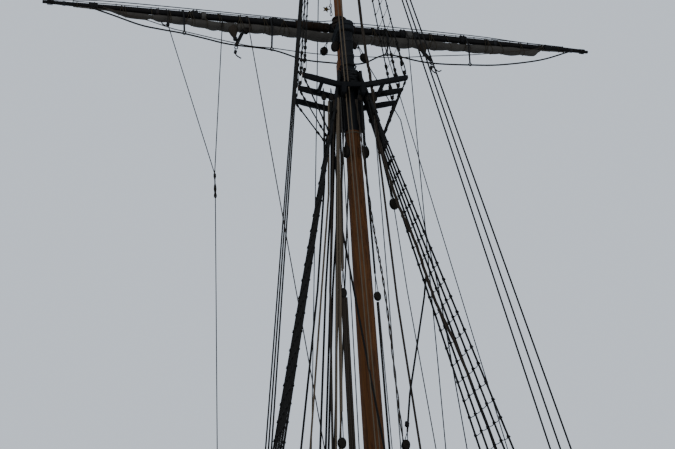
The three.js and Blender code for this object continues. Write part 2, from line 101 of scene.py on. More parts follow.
# Footropes aft of the lower topsail yard, [along it, above its middle]: the thick one, and a thin one over it
FOOTROPE = [
    (-5.42, 0.0), (-5.3, -0.085), (-4.9, -0.277), (-4.36, -0.44), (-3.94, -0.5), (-3.41, -0.555),
    (-2.96, -0.63),
    (-2.41, -0.72), (-1.45, -0.74), (-0.78, -0.9), (-0.3, -0.93), (0.36, -0.92), (0.71, -0.86), (1.25, -0.61),
    (1.99, -0.72), (2.47, -0.75), (3.22, -0.71), (3.97, -0.64), (5.02, -0.42), (5.9, -0.05),
]
STIRRUPS = [5, 8, 13, 16]
BACKROPE = [
    (-5.13, -0.04), (-4.9, -0.165), (-4.6, -0.25), (-4.22, -0.325), (-3.7, -0.47), (-3.4, -0.52),
    (-2.6, -0.65),
    (-1.95, -0.72), (-1.47, -0.71), (-0.84, -0.74), (-0.15, -0.75), (1.27, -0.69), (2.31, -0.58),
    (3.26, -0.46),
    (4.24, -0.29), (4.8, -0.18), (5.13, -0.04),
]

X, Y, Z = Vector((1, 0, 0)), Vector((0, 1, 0)), Vector((0, 0, 1))
Z_TO_X = Matrix.Rotation(math.pi / 2, 4, "Y")
for yard_name, yard_spec in YARDS.items():
    yard_spec.update(name=yard_name, body=f"{yard_name}_yard_body")
    turn = Matrix.Rotation(BRACE, 4, "Z")
    yard_spec["frame"] = Matrix.Translation((0, yard_spec["y"], yard_spec["z"])) @ turn


# small helpers for modelling
def close_edit():
    if bpy.context.mode != "OBJECT":
        bpy.ops.object.mode_set(mode="OBJECT")


def open_edit(action="SELECT"):
    """Opens the active piece for editing, with everything selected or nothing"""
    bpy.ops.object.mode_set(mode="EDIT")
    bpy.ops.mesh.select_all(action=action)


def deselect():
    close_edit()
    bpy.ops.object.select_all(action="DESELECT")


def hold(piece):
    deselect()
    piece.select_set(True)
    bpy.context.view_layer.objects.active = piece


def start(primitive, **how):
    deselect()
    primitive(**how)
    return bpy.context.active_object


def choose(piece, test):
    """Selects the faces whose normal passes the test, and opens the piece for editing"""
    close_edit()
    mesh = piece.data
    for part in (mesh.vertices, mesh.edges):
        part.foreach_set("select", [False] * len(part))
    mesh.polygons.foreach_set("select", [bool(test(face.normal)) for face in mesh.polygons])
    bpy.ops.object.mode_set(mode="EDIT")
    bpy.ops.mesh.select_mode(type="FACE")


def extrude(step):
    bpy.ops.mesh.extrude_region_move(TRANSFORM_OT_translate={"value": step})


def outward():
    """Turns every face of the piece in edit mode outward, and closes it"""
    bpy.ops.mesh.select_all(action="SELECT")
    bpy.ops.mesh.normals_make_consistent(inside=False)
    close_edit()


def placed(piece, place=None):
    """The piece at its place, with that place taken into its mesh"""
    if place is not None:
        piece.matrix_world = place
    hold(piece)
    bpy.ops.object.transform_apply(location=True, rotation=True, scale=True)
    return piece


def use_modifier(piece, kind, **settings):
    hold(piece)
    modifier = piece.modifiers.new(kind.lower(), kind)
    for key, value in settings.items():
        setattr(modifier, key, value)
    bpy.ops.object.modifier_apply(modifier=modifier.name)


def cut(piece, tool):
    """Cuts the tool's shape out of the piece; the tool itself is removed"""
    use_modifier(piece, "BOOLEAN", object=tool, operation="DIFFERENCE", solver="EXACT")
    bpy.data.objects.remove(tool)
    return piece


def smooth(piece, angle=40):
    hold(piece)
    bpy.ops.object.shade_smooth_by_angle(angle=math.radians(angle))
    return piece


def bevelled(piece, width, segments=2):
    use_modifier(
        piece, "BEVEL", width=width, segments=segments, limit_method="ANGLE", angle_limit=math.radians(30)
    )
    return smooth(piece, 35)


def merged(pieces):
    deselect()
    for piece in pieces:
        piece.select_set(True)
    bpy.context.view_layer.objects.active = pieces[0]
    if len(pieces) > 1:
        bpy.ops.object.join()
    return pieces[0]


def copies(master, places):
    """The master copied to every place, as one object; the master itself is removed"""
    made = []
    for place in places:
        twin = master.copy()
        twin.data = master.data.copy()
        twin.matrix_world = place @ master.matrix_world
        bpy.context.collection.objects.link(twin)
        made.append(twin)
    bpy.data.objects.remove(master)
    bpy.context.view_layer.update()
    hold(made[0])
    for twin in made:
        twin.select_set(True)
    bpy.ops.object.transform_apply(location=True, rotation=True, scale=True)
    return merged(made)


def done(piece, name, finish, nodes=(), body="mast"):
    """Names a finished piece, or several as one, gives it material and body, and hides what it stands for"""
    if isinstance(piece, list):
        piece = merged(piece)
    piece.name = name
    piece.data.name = name
    piece.data.materials.clear()
    piece.data.materials.append(finish)
    if body:
        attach(piece, body)
    if nodes:
        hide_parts(*nodes)
    return piece


def box(size, at):
    piece = start(bpy.ops.mesh.primitive_cube_add, size=1, location=at)
    piece.scale = size
    return placed(piece)


def plank(low, high, bevel=0.006):
    """A squared timber between two corners with its edges taken off"""
    low, high = Vector(low), Vector(high)
    return bevelled(box(high - low, (low + high) / 2), bevel)


def drum(sides, radius, depth, at):
    return start(bpy.ops.mesh.primitive_cylinder_add, vertices=sides, radius=radius, depth=depth, location=at)


def torus(major, minor, segments, place=None, scale=(1, 1, 1)):
    piece = start(
        bpy.ops.mesh.primitive_torus_add, major_radius=major, minor_radius=minor,
        major_segments=segments[0], minor_segments=segments[1],
    )
    if place is not None:
        piece.matrix_world = place
    piece.scale = scale
    return smooth(placed(piece), 60)


def turned(stations, sides=32, at=(0, 0, 0), ends=True):
    """A round piece built up from a circle by extruding it to each [height, radius] in turn"""
    x, y, base = at
    z, r = stations[0]
    piece = start(
        bpy.ops.mesh.primitive_circle_add, vertices=sides, radius=r, fill_type="NGON" if ends else "NOTHING",
        location=(x, y, base + z),
    )
    open_edit()
    for z1, r1 in stations[1:]:
        extrude((0, 0, z1 - z))
        if abs(r1 - r) > 1e-6:
            bpy.ops.transform.resize(value=(r1 / r, r1 / r, 1), center_override=(x, y, base + z1))
        z, r = z1, r1
    outward()
    return placed(piece)


def turned_along(direction, stations, sides, at):
    """A turned piece whose axis points along the direction, from the place at"""
    quarter = Z.rotation_difference(Vector(direction))
    return placed(turned(stations, sides), Matrix.Translation(at) @ quarter.to_matrix().to_4x4())


def pole(a, b, r, end_r, sides):
    """A round bar that reaches a little past two places"""
    way, past = (b - a).normalized(), 0.11
    length = (b - a).length + 2 * past
    stations = [(0, end_r), (0.02, r), (length - 0.02, r), (length, end_r)]
    return smooth(turned_along(way, stations, sides, a - way * past))


def hoop(z0, z1, inner, outer, sides=32, at=(0, 0), lip=0.004):
    """A round iron band with a slightly rolled edge"""
    piece = turned(
        [
            (z0, inner), (z0, outer - lip), (z0 + lip, outer), (z1 - lip, outer), (z1, outer - lip),
            (z1, inner),
        ],
        sides, (*at, 0), ends=False,
    )
    hold(piece)
    bpy.ops.object.mode_set(mode="EDIT")
    bpy.ops.mesh.select_mode(type="EDGE")
    bpy.ops.mesh.select_all(action="DESELECT")
    bpy.ops.mesh.select_non_manifold()
    bpy.ops.mesh.bridge_edge_loops()
    outward()
    return smooth(piece)


# rope
def rope(name, runs, radius, finish, body="mast", fineness=1, nodes=()):
    """Ropes of one size as one piece; its UV map counts diameters along each rope and turns round it"""
    curve = bpy.data.curves.new(name, "CURVE")
    curve.dimensions = "3D"
    curve.bevel_depth = radius
    curve.bevel_resolution = fineness
    curve.use_fill_caps = True
    for run in runs:
        line = curve.splines.new("POLY")
        line.points.add(len(run) - 1)
        for point, place in zip(line.points, run):
            point.co = (*place, 1)
    piece = bpy.data.objects.new(name, curve)
    bpy.context.collection.objects.link(piece)
    hold(piece)
    bpy.ops.object.convert(target="MESH")
    piece = bpy.context.active_object
    measure_lay(piece.data, runs, 4 + 2 * fineness, 2 * radius)
    bpy.ops.object.shade_smooth()
    return done(piece, name, finish, nodes, body)


def measure_lay(mesh, runs, sides, diameter):
    totals, firsts = np.zeros(len(mesh.polygons), int), np.zeros(len(mesh.polygons), int)
    mesh.polygons.foreach_get("loop_total", totals)
    mesh.polygons.foreach_get("loop_start", firsts)
    uv = np.zeros(len(mesh.loops) * 2)
    layer = mesh.uv_layers.active.data
    layer.foreach_get("uv", uv)
    uv = uv.reshape(-1, 2)
    quads = firsts[totals == 4]
    at = 0
    for run in runs:
        steps = len(run) - 1
        lengths = [(Vector(b) - Vector(a)).length for a, b in zip(run, run[1:])]
        gone = np.concatenate([[0], np.cumsum(lengths)])
        own = quads[at:at + steps * sides]
        at += steps * sides
        for corner in range(4):
            place = uv[own + corner, 0] * steps
            uv[own + corner, 0] = np.interp(place, np.arange(steps + 1), gone) / diameter
    layer.foreach_set("uv", uv.ravel())


def hanging(a, b, sag, steps):
    """The points of a rope that hangs a little between two places"""
    shares = [i / steps for i in range(steps + 1)]
    return [a.lerp(b, t) - Z * (sag * 4 * t * (1 - t)) for t in shares]


def around(centre, first, second, radius, from_turn, to_turn, steps):
    """Points on an arc in the plane of two directions; turns are counted in full circles"""
    centre, first, second = Vector(centre), Vector(first).normalized(), Vector(second).normalized()
    angles = [math.tau * (from_turn + (to_turn - from_turn) * i / steps) for i in range(steps + 1)]
    return [centre + radius * (math.cos(a) * first + math.sin(a) * second) for a in angles]


def wrapping(a, b, radius, pitch):
    """Points of a twine wound round the line from a to b"""
    a, b = Vector(a), Vector(b)
    axis = (b - a).normalized()
    side = axis.orthogonal().normalized()
    other = axis.cross(side)
    turns = (b - a).length / pitch
    steps = max(8, int(turns * 8))
    made = []
    for i in range(steps + 1):
        angle = math.tau * turns * i / steps
        made.append(a.lerp(b, i / steps) + radius * (math.cos(angle) * side + math.sin(angle) * other))
    return made


def smoothed(points, steps):
    """The points of a curve that runs smoothly through all the given places"""
    places = [Vector(p) for p in points]
    places = [places[0] * 2 - places[1]] + places + [places[-1] * 2 - places[-2]]
    curve = []
    for a, b, c, d in zip(places, places[1:], places[2:], places[3:]):
        for t in [i / steps for i in range(steps)]:
            bend = (2 * a - 5 * b + 4 * c - d) * t * t + (3 * b - a - 3 * c + d) * t ** 3
            curve.append(0.5 * (2 * b + (c - a) * t + bend))
    return curve + [places[-2]]


def strands(points, radius, turns, count=2):
    """The strands of a line laid round the path through the points"""
    path = smoothed(points, 30)
    made = []
    for k in range(count):
        angles = [math.tau * (turns * i / (len(path) - 1) + k / count) for i in range(len(path))]
        offsets = [Vector((radius * math.cos(a), radius * math.sin(a), 0)) for a in angles]
        made.append([place + offset for place, offset in zip(path, offsets)])
    return made


# finishes
class Nodes:
    """A node tree, with short ways of adding to it"""

    def __init__(self, tree):
        self.tree = tree

    def put(self, socket, value):
        if isinstance(value, bpy.types.NodeSocket):
            self.tree.links.new(value, socket)
        else:
            socket.default_value = value

    def add(self, kind, values=None, **settings):
        item = self.tree.nodes.new("ShaderNode" + kind)
        for key, value in settings.items():
            setattr(item, key, value)
        for key, value in (values or {}).items():
            self.put(item.inputs[key], value)
        return item

    def math(self, operation, *values):
        return self.add("Math", dict(enumerate(values)), operation=operation).outputs[0]

    def times(self, a, b):
        return self.math("MULTIPLY", a, b)

    def plus(self, a, b):
        return self.math("ADD", a, b)

    def minus(self, a, b):
        return self.math("SUBTRACT", a, b)

    def noise(self, place, scale, detail, **more):
        return self.add("TexNoise", {"Vector": place, "Scale": scale, "Detail": detail, **more}).outputs[0]

    def split(self, place):
        return self.add("SeparateXYZ", {"Vector": place}).outputs

    def ramp(self, value, low, high):
        """0 below low, 1 above high and smooth between"""
        values = {"Value": value, "From Min": low, "From Max": high}
        return self.add("MapRange", values, interpolation_type="SMOOTHSTEP").outputs[0]

    def spread(self, value, low, high):
        return self.add("MapRange", {"Value": value, "To Min": low, "To Max": high}).outputs[0]

    def blend(self, factor, a, b):
        item = self.add("Mix", data_type="RGBA")
        for index, value in ((0, factor), (6, a), (7, b)):
            self.put(item.inputs[index], (*value, 1) if isinstance(value, tuple) else value)
        return item.outputs[2]

    def group(self, effect, **values):
        return self.add("Group", values, node_tree=effect).outputs

    def place(self, turn=None):
        """The point on the piece, turned where the piece doesn't run along Z"""
        spot = self.add("TexCoord").outputs["Object"]
        return self.add("Mapping", {"Vector": spot, "Rotation": turn}).outputs[0] if turn else spot

    def shade(self, colour, roughness, bumps=None, **more):
        """Sets the shader's colour, roughness, bumps as (height, strength, distance), and other values"""
        values = {"Base Color": colour, "Roughness": roughness}
        if bumps:
            height, strength, distance = bumps
            bump = self.add("Bump", {"Height": height, "Strength": strength, "Distance": distance})
            values["Normal"] = bump.outputs[0]
        values.update({key.replace("_", " "): value for key, value in more.items()})
        for key, value in values.items():
            self.put(self.tree.nodes["Principled BSDF"].inputs[key], value)


def new_effect(name, inputs, make):
    """A node group with named inputs, each with a default or None for a vector; make returns its outputs"""
    tree = bpy.data.node_groups.new(name, "ShaderNodeTree")
    for key, value in inputs.items():
        kind = "NodeSocketVector" if value is None else "NodeSocketFloat"
        socket = tree.interface.new_socket(key, in_out="INPUT", socket_type=kind)
        if value is not None:
            socket.default_value = value
    nodes = Nodes(tree)
    values = make(nodes, tree.nodes.new("NodeGroupInput").outputs)
    for key in values:
        tree.interface.new_socket(key, in_out="OUTPUT", socket_type="NodeSocketFloat")
    out = tree.nodes.new("NodeGroupOutput").inputs
    for key, value in values.items():
        nodes.put(out[key], value)
    return tree


def grain(n, given):
    """Wood grain, drying checks and weather stains, long along the piece's own Z"""
    place, fineness = given["Place"], given["Fineness"]
    way = n.split(place)
    along = n.math("DIVIDE", way["Z"], given["Stretch"])
    squeezed = n.add("CombineXYZ", {"X": way["X"], "Y": way["Y"], "Z": along}).outputs[0]
    wander = n.add("TexNoise", {"Vector": squeezed, "Scale": 3.0, "Detail": 2.0}).outputs["Color"]
    slight = n.add("VectorMath", {0: wander, "Scale": 0.05}, operation="SCALE").outputs[0]
    bent = n.add("VectorMath", {0: squeezed, 1: wander, 2: slight}, operation="MULTIPLY_ADD").outputs[0]
    fine = n.noise(bent, n.times(fineness, 5.0), 3.0)
    mixed = n.plus(n.times(n.noise(bent, fineness, 6.0, Roughness=0.62), 0.65), n.times(fine, 0.35))
    ridge = n.math("ABSOLUTE", n.minus(n.noise(bent, 19.0, 1.0, Distortion=0.3), 0.5))
    where = n.ramp(n.noise(place, 1.3, 2.0), 0.5, 0.62)
    checks = n.times(n.minus(1.0, n.ramp(ridge, 0.0, 0.012)), where)
    stain = n.ramp(n.noise(squeezed, 4.5, 4.0, Roughness=0.7), 0.55, 0.75)
    return {"Grain": mixed, "Checks": checks, "Stain": stain, "Height": n.minus(mixed, n.times(checks, 1.6))}


def lay(n, given):
    """The strands of a rope, from its UV map in diameters along and turns round"""
    way = n.split(n.add("UVMap").outputs[0])
    turn = n.plus(n.times(way["X"], given["Along"]), n.times(way["Y"], given["Strands"]))
    wave = n.math("ABSOLUTE", n.minus(n.math("FRACT", turn), 0.5))
    strand = n.minus(1.0, n.math("POWER", n.times(wave, 2.0), 2.5))
    twist = n.add("CombineXYZ", {"X": n.times(turn, 6.0), "Y": n.times(way["X"], 0.4)}).outputs[0]
    fibres = n.noise(twist, given["Fibre"], 3.0)
    return {"Height": strand, "Groove": n.ramp(strand, 0.55, 0.05), "Fibres": fibres}


def weathering(n, given):
    """Broad and fine patches of salt, dust and wear, and scratches"""
    place, size = given["Place"], given["Size"]
    broad = n.noise(place, size, 5.0, Roughness=0.6)
    fine = n.noise(place, n.times(size, 24.0), 4.0)
    chips = n.add("TexVoronoi", {"Vector": place, "Scale": n.times(size, 13.0)}).outputs["Distance"]
    scratch = n.times(n.ramp(chips, 0.12, 0.04), n.ramp(broad, 0.5, 0.66))
    return {"Broad": broad, "Fine": fine, "Scratch": scratch}


GRAIN = new_effect("wood_grain", {"Place": None, "Stretch": 14.0, "Fineness": 26.0}, grain)
LAY = new_effect("rope_lay", {"Along": 0.9, "Strands": 3.0, "Fibre": 1.0}, lay)
WEATHER = new_effect("weather", {"Place": None, "Size": 2.0}, weathering)


def new_finish(name):
    material = bpy.data.materials.new(name)
    material.use_nodes = True
    return material, Nodes(material.node_tree)


def spar_finish(name, light, dark, painted_above=None):
    """Oiled pine, painted black above a height where that is given"""
    material, n = new_finish(name)
    place = n.place()
    wood = n.group(GRAIN, Place=place)
    colour = n.blend(n.ramp(wood["Grain"], 0.32, 0.66), dark, light)
    colour = n.blend(n.times(wood["Stain"], 0.75), colour, (0.045, 0.022, 0.012))
    colour = n.blend(n.times(wood["Checks"], 0.85), colour, (0.02, 0.012, 0.008))
    if painted_above:
        weather = n.group(WEATHER, Place=place, Size=3.0)
        edge = n.plus(n.split(place)["Z"], n.times(weather["Fine"], 0.02))
        paint = n.blend(weather["Broad"], (0.007, 0.008, 0.01), (0.022, 0.024, 0.028))
        colour = n.blend(n.ramp(edge, painted_above, painted_above + 0.02), colour, paint)
    rough = n.spread(wood["Grain"], 0.42, 0.7)
    n.shade(colour, rough, (wood["Height"], 0.35, 0.004), Specular_IOR_Level=0.3)
    return material


def paint_finish(name, dark, light, turn=None, shine=(0.52, 0.8)):
    """Black paint over timber: the grain shows through, and chips show grey wood"""
    material, n = new_finish(name)
    place = n.place(turn)
    wood = n.group(GRAIN, Place=place)
    weather = n.group(WEATHER, Place=place, Size=2.4)
    colour = n.blend(weather["Broad"], dark, light)
    colour = n.blend(n.times(weather["Scratch"], 0.8), colour, (0.12, 0.10, 0.085))
    colour = n.blend(n.times(wood["Checks"], 0.9), colour, (0.004, 0.004, 0.004))
    n.shade(colour, n.spread(weather["Fine"], *shine), (wood["Height"], 0.25, 0.004), Specular_IOR_Level=0.2)
    return material


def iron_finish(name, base=(0.016, 0.017, 0.019), rust=(0.09, 0.035, 0.014), amount=0.5, metallic=0.35):
    """Painted iron with rust breaking through"""
    material, n = new_finish(name)
    weather = n.group(WEATHER, Place=n.place(), Size=5.0)
    rusty = n.times(n.ramp(weather["Broad"], 0.5, 0.72), amount)
    colour = n.blend(weather["Fine"], base, tuple(2.1 * c for c in base))
    colour = n.blend(rusty, colour, rust)
    n.shade(colour, n.spread(weather["Fine"], 0.42, 0.72), (weather["Fine"], 0.3, 0.002), Metallic=metallic)
    return material


def rope_finish(name, dark, light, along=0.9, strands=3.0, gloss=0.75, groove=0.7, relief=0.8):
    """Laid rope, or a served one where the turns lie square to it"""
    material, n = new_finish(name)
    twist = n.group(LAY, Along=along, Strands=strands, Fibre=3.0)
    weather = n.group(WEATHER, Place=n.place(), Size=3.0)
    share = n.plus(n.times(twist["Fibres"], 0.6), n.times(weather["Broad"], 0.4))
    strand = n.blend(share, dark, light)
    # painted shade: the grooves between the strands are darkened towards a quarter of the dark colour, by the
    # groove amount
    colour = n.blend(n.times(twist["Groove"], groove), strand, tuple(0.25 * c for c in dark))
    n.shade(colour, n.spread(twist["Fibres"], gloss - 0.12, gloss + 0.15), (twist["Height"], relief, 0.004))
    return material


def canvas_finish(name):
    """Weathered flax canvas: weave, seams every cloth and water stains, on a UV map in metres"""
    material, n = new_finish(name)
    way = n.split(n.add("UVMap").outputs[0])
    threads, cloth = 2600.0, 0.6
    warp, weft = [n.math("SINE", n.times(way[axis], threads)) for axis in "XY"]
    across = n.minus(n.math("FRACT", n.math("DIVIDE", way["X"], cloth)), 0.5)
    seam = n.ramp(n.math("ABSOLUTE", across), 0.032, 0.022)
    weather = n.group(WEATHER, Place=n.place(), Size=3.5)
    colour = n.blend(weather["Broad"], (0.03, 0.026, 0.021), (0.15, 0.137, 0.118))
    colour = n.blend(n.times(n.ramp(weather["Fine"], 0.52, 0.72), 0.35), colour, (0.05, 0.045, 0.038))
    colour = n.blend(n.times(seam, 0.3), colour, (0.09, 0.083, 0.07))
    height = n.plus(n.times(n.times(warp, weft), 0.15), n.plus(seam, weather["Fine"]))
    n.shade(colour, 0.92, (height, 0.35, 0.004))
    return material


PINE = spar_finish("oiled_pine", (0.31, 0.122, 0.036), (0.085, 0.032, 0.0115), MAST_PAINT)
TOP_PINE = spar_finish("oiled_topmast_pine", (0.31, 0.118, 0.038), (0.12, 0.044, 0.016), TOPMAST_PAINT)
RAIL_PINE = spar_finish("oiled_rail_pine", (0.3, 0.15, 0.07), (0.13, 0.06, 0.03))
BLACK = paint_finish("black_paint", (0.006, 0.0065, 0.0075), (0.02, 0.021, 0.023))
YARD_BLACK = paint_finish(
    "black_yard_paint", (0.006, 0.006, 0.007), (0.024, 0.022, 0.021), (0, math.pi / 2, 0)
)
SLATE = paint_finish("slate_cap_paint", (0.012, 0.014, 0.017), (0.038, 0.043, 0.05))
IRON = iron_finish("black_iron")
TARRED = rope_finish(
    "tarred_rope", (0.006, 0.006, 0.006), (0.02, 0.018, 0.015), gloss=0.85, groove=0.4, relief=0.35
)
SERVED = rope_finish("served_rope", (0.005, 0.005, 0.006), (0.026, 0.026, 0.027), 7.0, 1.0, relief=0.5)
HEMP = rope_finish("hemp_rope", (0.12, 0.09, 0.058), (0.31, 0.235, 0.155), relief=0.5)
DARK_HEMP = rope_finish("dark_hemp_rope", (0.03, 0.021, 0.014), (0.085, 0.062, 0.042), relief=0.5)
GREY_HEMP = rope_finish("grey_hemp_rope", (0.06, 0.057, 0.05), (0.16, 0.15, 0.135), relief=0.5)
GASKET = rope_finish("gasket_rope", (0.03, 0.023, 0.012), (0.1, 0.074, 0.038), relief=0.5)
SERVED_BROWN = rope_finish(
    "brown_served_rope", (0.014, 0.009, 0.006), (0.055, 0.032, 0.019), 6.0, 1.0, relief=0.5
)
TWINE = rope_finish("seizing_twine", (0.02, 0.017, 0.012), (0.06, 0.05, 0.036))
BLOCK_WOOD = paint_finish("oiled_elm", (0.011, 0.009, 0.007), (0.032, 0.025, 0.018), shine=(0.5, 0.7))
CANVAS = canvas_finish("furled_canvas")
CLEW_CANVAS = paint_finish("clew_canvas", (0.03, 0.024, 0.018), (0.075, 0.06, 0.045), shine=(0.75, 0.95))
BRASS = iron_finish("old_brass", (0.1, 0.062, 0.02), (0.07, 0.05, 0.02), 0.7, 0.85)
LEATHER = paint_finish("chafing_leather", (0.018, 0.011, 0.007), (0.06, 0.034, 0.017), shine=(0.5, 0.75))


# camera, light and floor
def stand_camera():
    eye = bpy.data.cameras.new("eye")
    eye.lens, eye.sensor_width, eye.clip_end = 69.1, 36, 1500
    camera = bpy.data.objects.new("eye", eye)
    bpy.context.collection.objects.link(camera)
    ahead = Vector((0.1841, 0.9209, 0.3437)).normalized()
    right = Vector((0.9829, -0.1741, -0.06))
    right = (right - ahead * right.dot(ahead)).normalized()
    turn = Matrix((right, right.cross(ahead), -ahead)).transposed()
    camera.matrix_world = Matrix.Translation((-5.28, -24.2, 1.6)) @ turn.to_4x4()
    bpy.context.scene.camera = camera


def area_light(name, at, toward, size, watts):
    lamp = bpy.data.lights.new(name, "AREA")
    lamp.shape, lamp.size, lamp.energy, lamp.color = "DISK", size, watts, (0.93, 0.96, 1.0)
    light = bpy.data.objects.new(name, lamp)
    bpy.context.collection.objects.link(light)
    light.location = at
    light.rotation_euler = (Vector(toward) - Vector(at)).to_track_quat("-Z", "Y").to_euler()


def light_studio():
    """An even pale sky: bright where it is seen, softer on the rig, and darker from below than from above"""
    world = bpy.data.worlds.new("pale_sky")
    bpy.context.scene.world = world
    world.use_nodes = True
    n = Nodes(world.node_tree)
    up = n.split(n.add("TexCoord").outputs["Generated"])["Z"]
    span = {"Value": up, "From Min": -0.3, "From Max": 0.6, "To Min": 0.12, "To Max": 0.42}
    height = n.add("MapRange", span)
    soft = n.tree.nodes["Background"]
    n.put(soft.inputs["Color"], (*SKY, 1))
    n.put(soft.inputs["Strength"], height.outputs[0])
    seen = n.add("Background", {"Color": (*SKY, 1), "Strength": 1.16}).outputs[0]
    first = n.add("LightPath").outputs["Is Camera Ray"]
    mixed = n.add("MixShader", {0: first, 1: soft.outputs[0], 2: seen})
    n.put(n.tree.nodes["World Output"].inputs["Surface"], mixed.outputs[0])
    area_light("key", (-18, -22, 26), (0, 0, 13), 14, 1500)
    area_light("fill", (16, -18, 9), (0, 0, 12), 12, 450)


def make_floor():
    floor = start(
        bpy.ops.mesh.primitive_circle_add, vertices=96, radius=600, fill_type="NGON", location=(0, 0, -0.001)
    )
    floor.name = "floor"
    material, n = new_finish("pale_floor")
    weather = n.group(WEATHER, Place=n.place(), Size=0.4)
    seen = n.times(n.add("LightPath").outputs["Is Camera Ray"], 0.38)
    n.shade(
        n.blend(weather["Broad"], (0.78, 0.79, 0.8), (0.84, 0.85, 0.86)), 0.8,
        Emission_Color=(0.75, 0.79, 0.84, 1), Emission_Strength=seen,
    )
    floor.data.materials.append(material)


# masts and caps
def mast_radius(z):
    for (z0, r0), (z1, r1) in zip(MAST, MAST[1:]):
        if z <= z1:
            return r0 + (r1 - r0) * max(0, z - z0) / (z1 - z0)
    return MAST[-1][1]


def make_lower_mast():
    stations = [(0.0303, 0.205), (0.04, 0.212)] + MAST[1:-1] + [(15.018, 0.138), (15.03, 0.125)]
    spar = smooth(turned(stations, 64))
    tenon = smooth(turned([(14.92, 0.095), (15.28, 0.095), (15.29, 0.085)]))
    done([spar, tenon], "lower_mast_spar", PINE, ["lower_mast"])
    bands = [hoop(z, z + 0.07, mast_radius(z) - 0.002, mast_radius(z) + 0.012, 48) for z in (14.42, 14.78)]
    done(bands, "masthead_bands", IRON)


def make_topmast():
    foot = (0, TOPMAST_Y, 0)
    heel = box((0.24, 0.24, 1.27), (0, TOPMAST_Y, 13.915))
    choose(heel, lambda normal: normal.z > 0.9)
    extrude((0, 0, 0.16))
    bpy.ops.transform.resize(value=(0.74, 0.74, 1), center_override=(0, TOPMAST_Y, 14.71))
    cut(bevelled(heel, 0.03, 3), box((0.9, 0.067, 0.073), (0, TOPMAST_Y, 13.6353)))
    spar = smooth(turned([
        (14.4, 0.096), (18, 0.092), (21.78, 0.074), (21.86, 0.094), (22.05, 0.096), (22.085, 0.062),
        (24.99, 0.042),
        (25.0, 0.034),
    ], 48, foot))
    done([spar, heel], "topmast_spar", TOP_PINE, ["topmast"])
    button = smooth(turned([
        (25.0003, 0.05), (25.004, 0.062), (25.016, 0.086), (25.03, 0.088), (25.046, 0.086), (25.062, 0.066),
        (25.07, 0.03),
    ], 32, foot))
    done(button, "mast_truck", BLACK, ["truck"])
    bar = bevelled(plank((-0.28, 0.518, 13.6003), (0.28, 0.582, 13.6703), 0.004), 0.002)
    done(bar, "topmast_fid_bar", IRON, ["topmast_fid"])


def oblong(grow, z0, z1):
    """A plank with round ends, as the cap is in plan"""
    middle = CAP["aft"] + CAP["wide"] / 2
    piece = placed(drum(48, CAP["wide"] / 2 + grow, z1 - z0, (0, middle, (z0 + z1) / 2)))
    open_edit("DESELECT")
    close_edit()
    for point in piece.data.vertices:
        point.select = point.co.y > middle + 1e-4
    bpy.ops.object.mode_set(mode="EDIT")
    bpy.ops.transform.translate(value=(0, CAP["fore"] - CAP["aft"] - CAP["wide"], 0))
    close_edit()
    return piece


def make_cap():
    z, deep = CAP["z"], CAP["deep"]
    block = oblong(0, z, z + deep)
    for y, r in ((0, 0.096), (TOPMAST_Y, 0.108)):
        cut(block, drum(40, r, 2, (0, y, 15.2)))
    done(bevelled(block, 0.008), "cap_block", BLACK, ["lower_cap"])
    bands = []
    for low in (z + 0.018, z + 0.125):
        band = cut(oblong(0.009, low, low + 0.085), oblong(-0.001, low - 0.1, low + 0.3))
        bands.append(bevelled(band, 0.003))
    for y in (-0.1, 0.1, 0.27, 0.42, 0.6):
        for side in SIDES.values():
            head = turned_along(
                X * side, [(0, 0.017), (0.008, 0.017), (0.014, 0.008)], 12, (side * 0.183, y, z + 0.167)
            )
            bands.append(smooth(head))
    done(bands, "cap_bands", SLATE)


def make_cheek(side):
    """A cheek that widens upward in three steps, hollowed to the mast"""
    cheek = box((0.126, 0.19, 0.22), (side * 0.187, -0.035, 12.81))
    for shift, rise, grow in ((0.02, 0.16, 1.25), (0.1, 0.2, 1.5), (0.2, 0.11, 1.7)):
        choose(cheek, lambda normal: normal.z > 0.9)
        extrude((0, shift, rise))
        bpy.ops.transform.resize(value=(1, grow, 1))
    close_edit()
    top = max(point.co.z for point in cheek.data.vertices)
    for point in cheek.data.vertices:
        if point.co.z > top - 1e-4:
            point.co.y, point.co.z = -0.15 if point.co.y < 0.1 else 0.7, 13.3997
    return bevelled(cut(cheek, start(
        bpy.ops.mesh.primitive_cone_add, vertices=64, radius1=0.1604, radius2=0.1507, depth=1.0,
        location=(0, 0, 12.9),
    )), 0.01)


def make_hounds():
    """Cheeks, trestletrees and crosstrees"""
    for name, side in SIDES.items():
        done(make_cheek(side), f"cheek_plank_{name}", BLACK, [f"cheek_{name}"])
        tree = box((0.1, 1.68, 0.2), (side * 0.2058, 0.32, 13.5))
        for point in tree.data.vertices:
            if point.co.z < 13.45:
                point.co.y += 0.07 if point.co.y < 0 else -0.07
        done(bevelled(tree, 0.012, 3), f"trestletree_timber_{name}", BLACK, [f"trestletree_{name}"])
    for name, y in CROSSTREES.items():
        timber = box((0.52, 0.104, 0.112), (0, y, 13.6563))
        for side in SIDES.values():
            for _ in range(4):
                choose(timber, lambda normal: normal.x * side > 0.6)
                extrude((side * 0.2125, -0.1, 0))
            bpy.ops.transform.resize(value=(1, 0.8, 0.86))
        done(bevelled(timber, 0.012, 3), f"crosstree_timber_{name}", BLACK, [f"crosstree_{name}"])


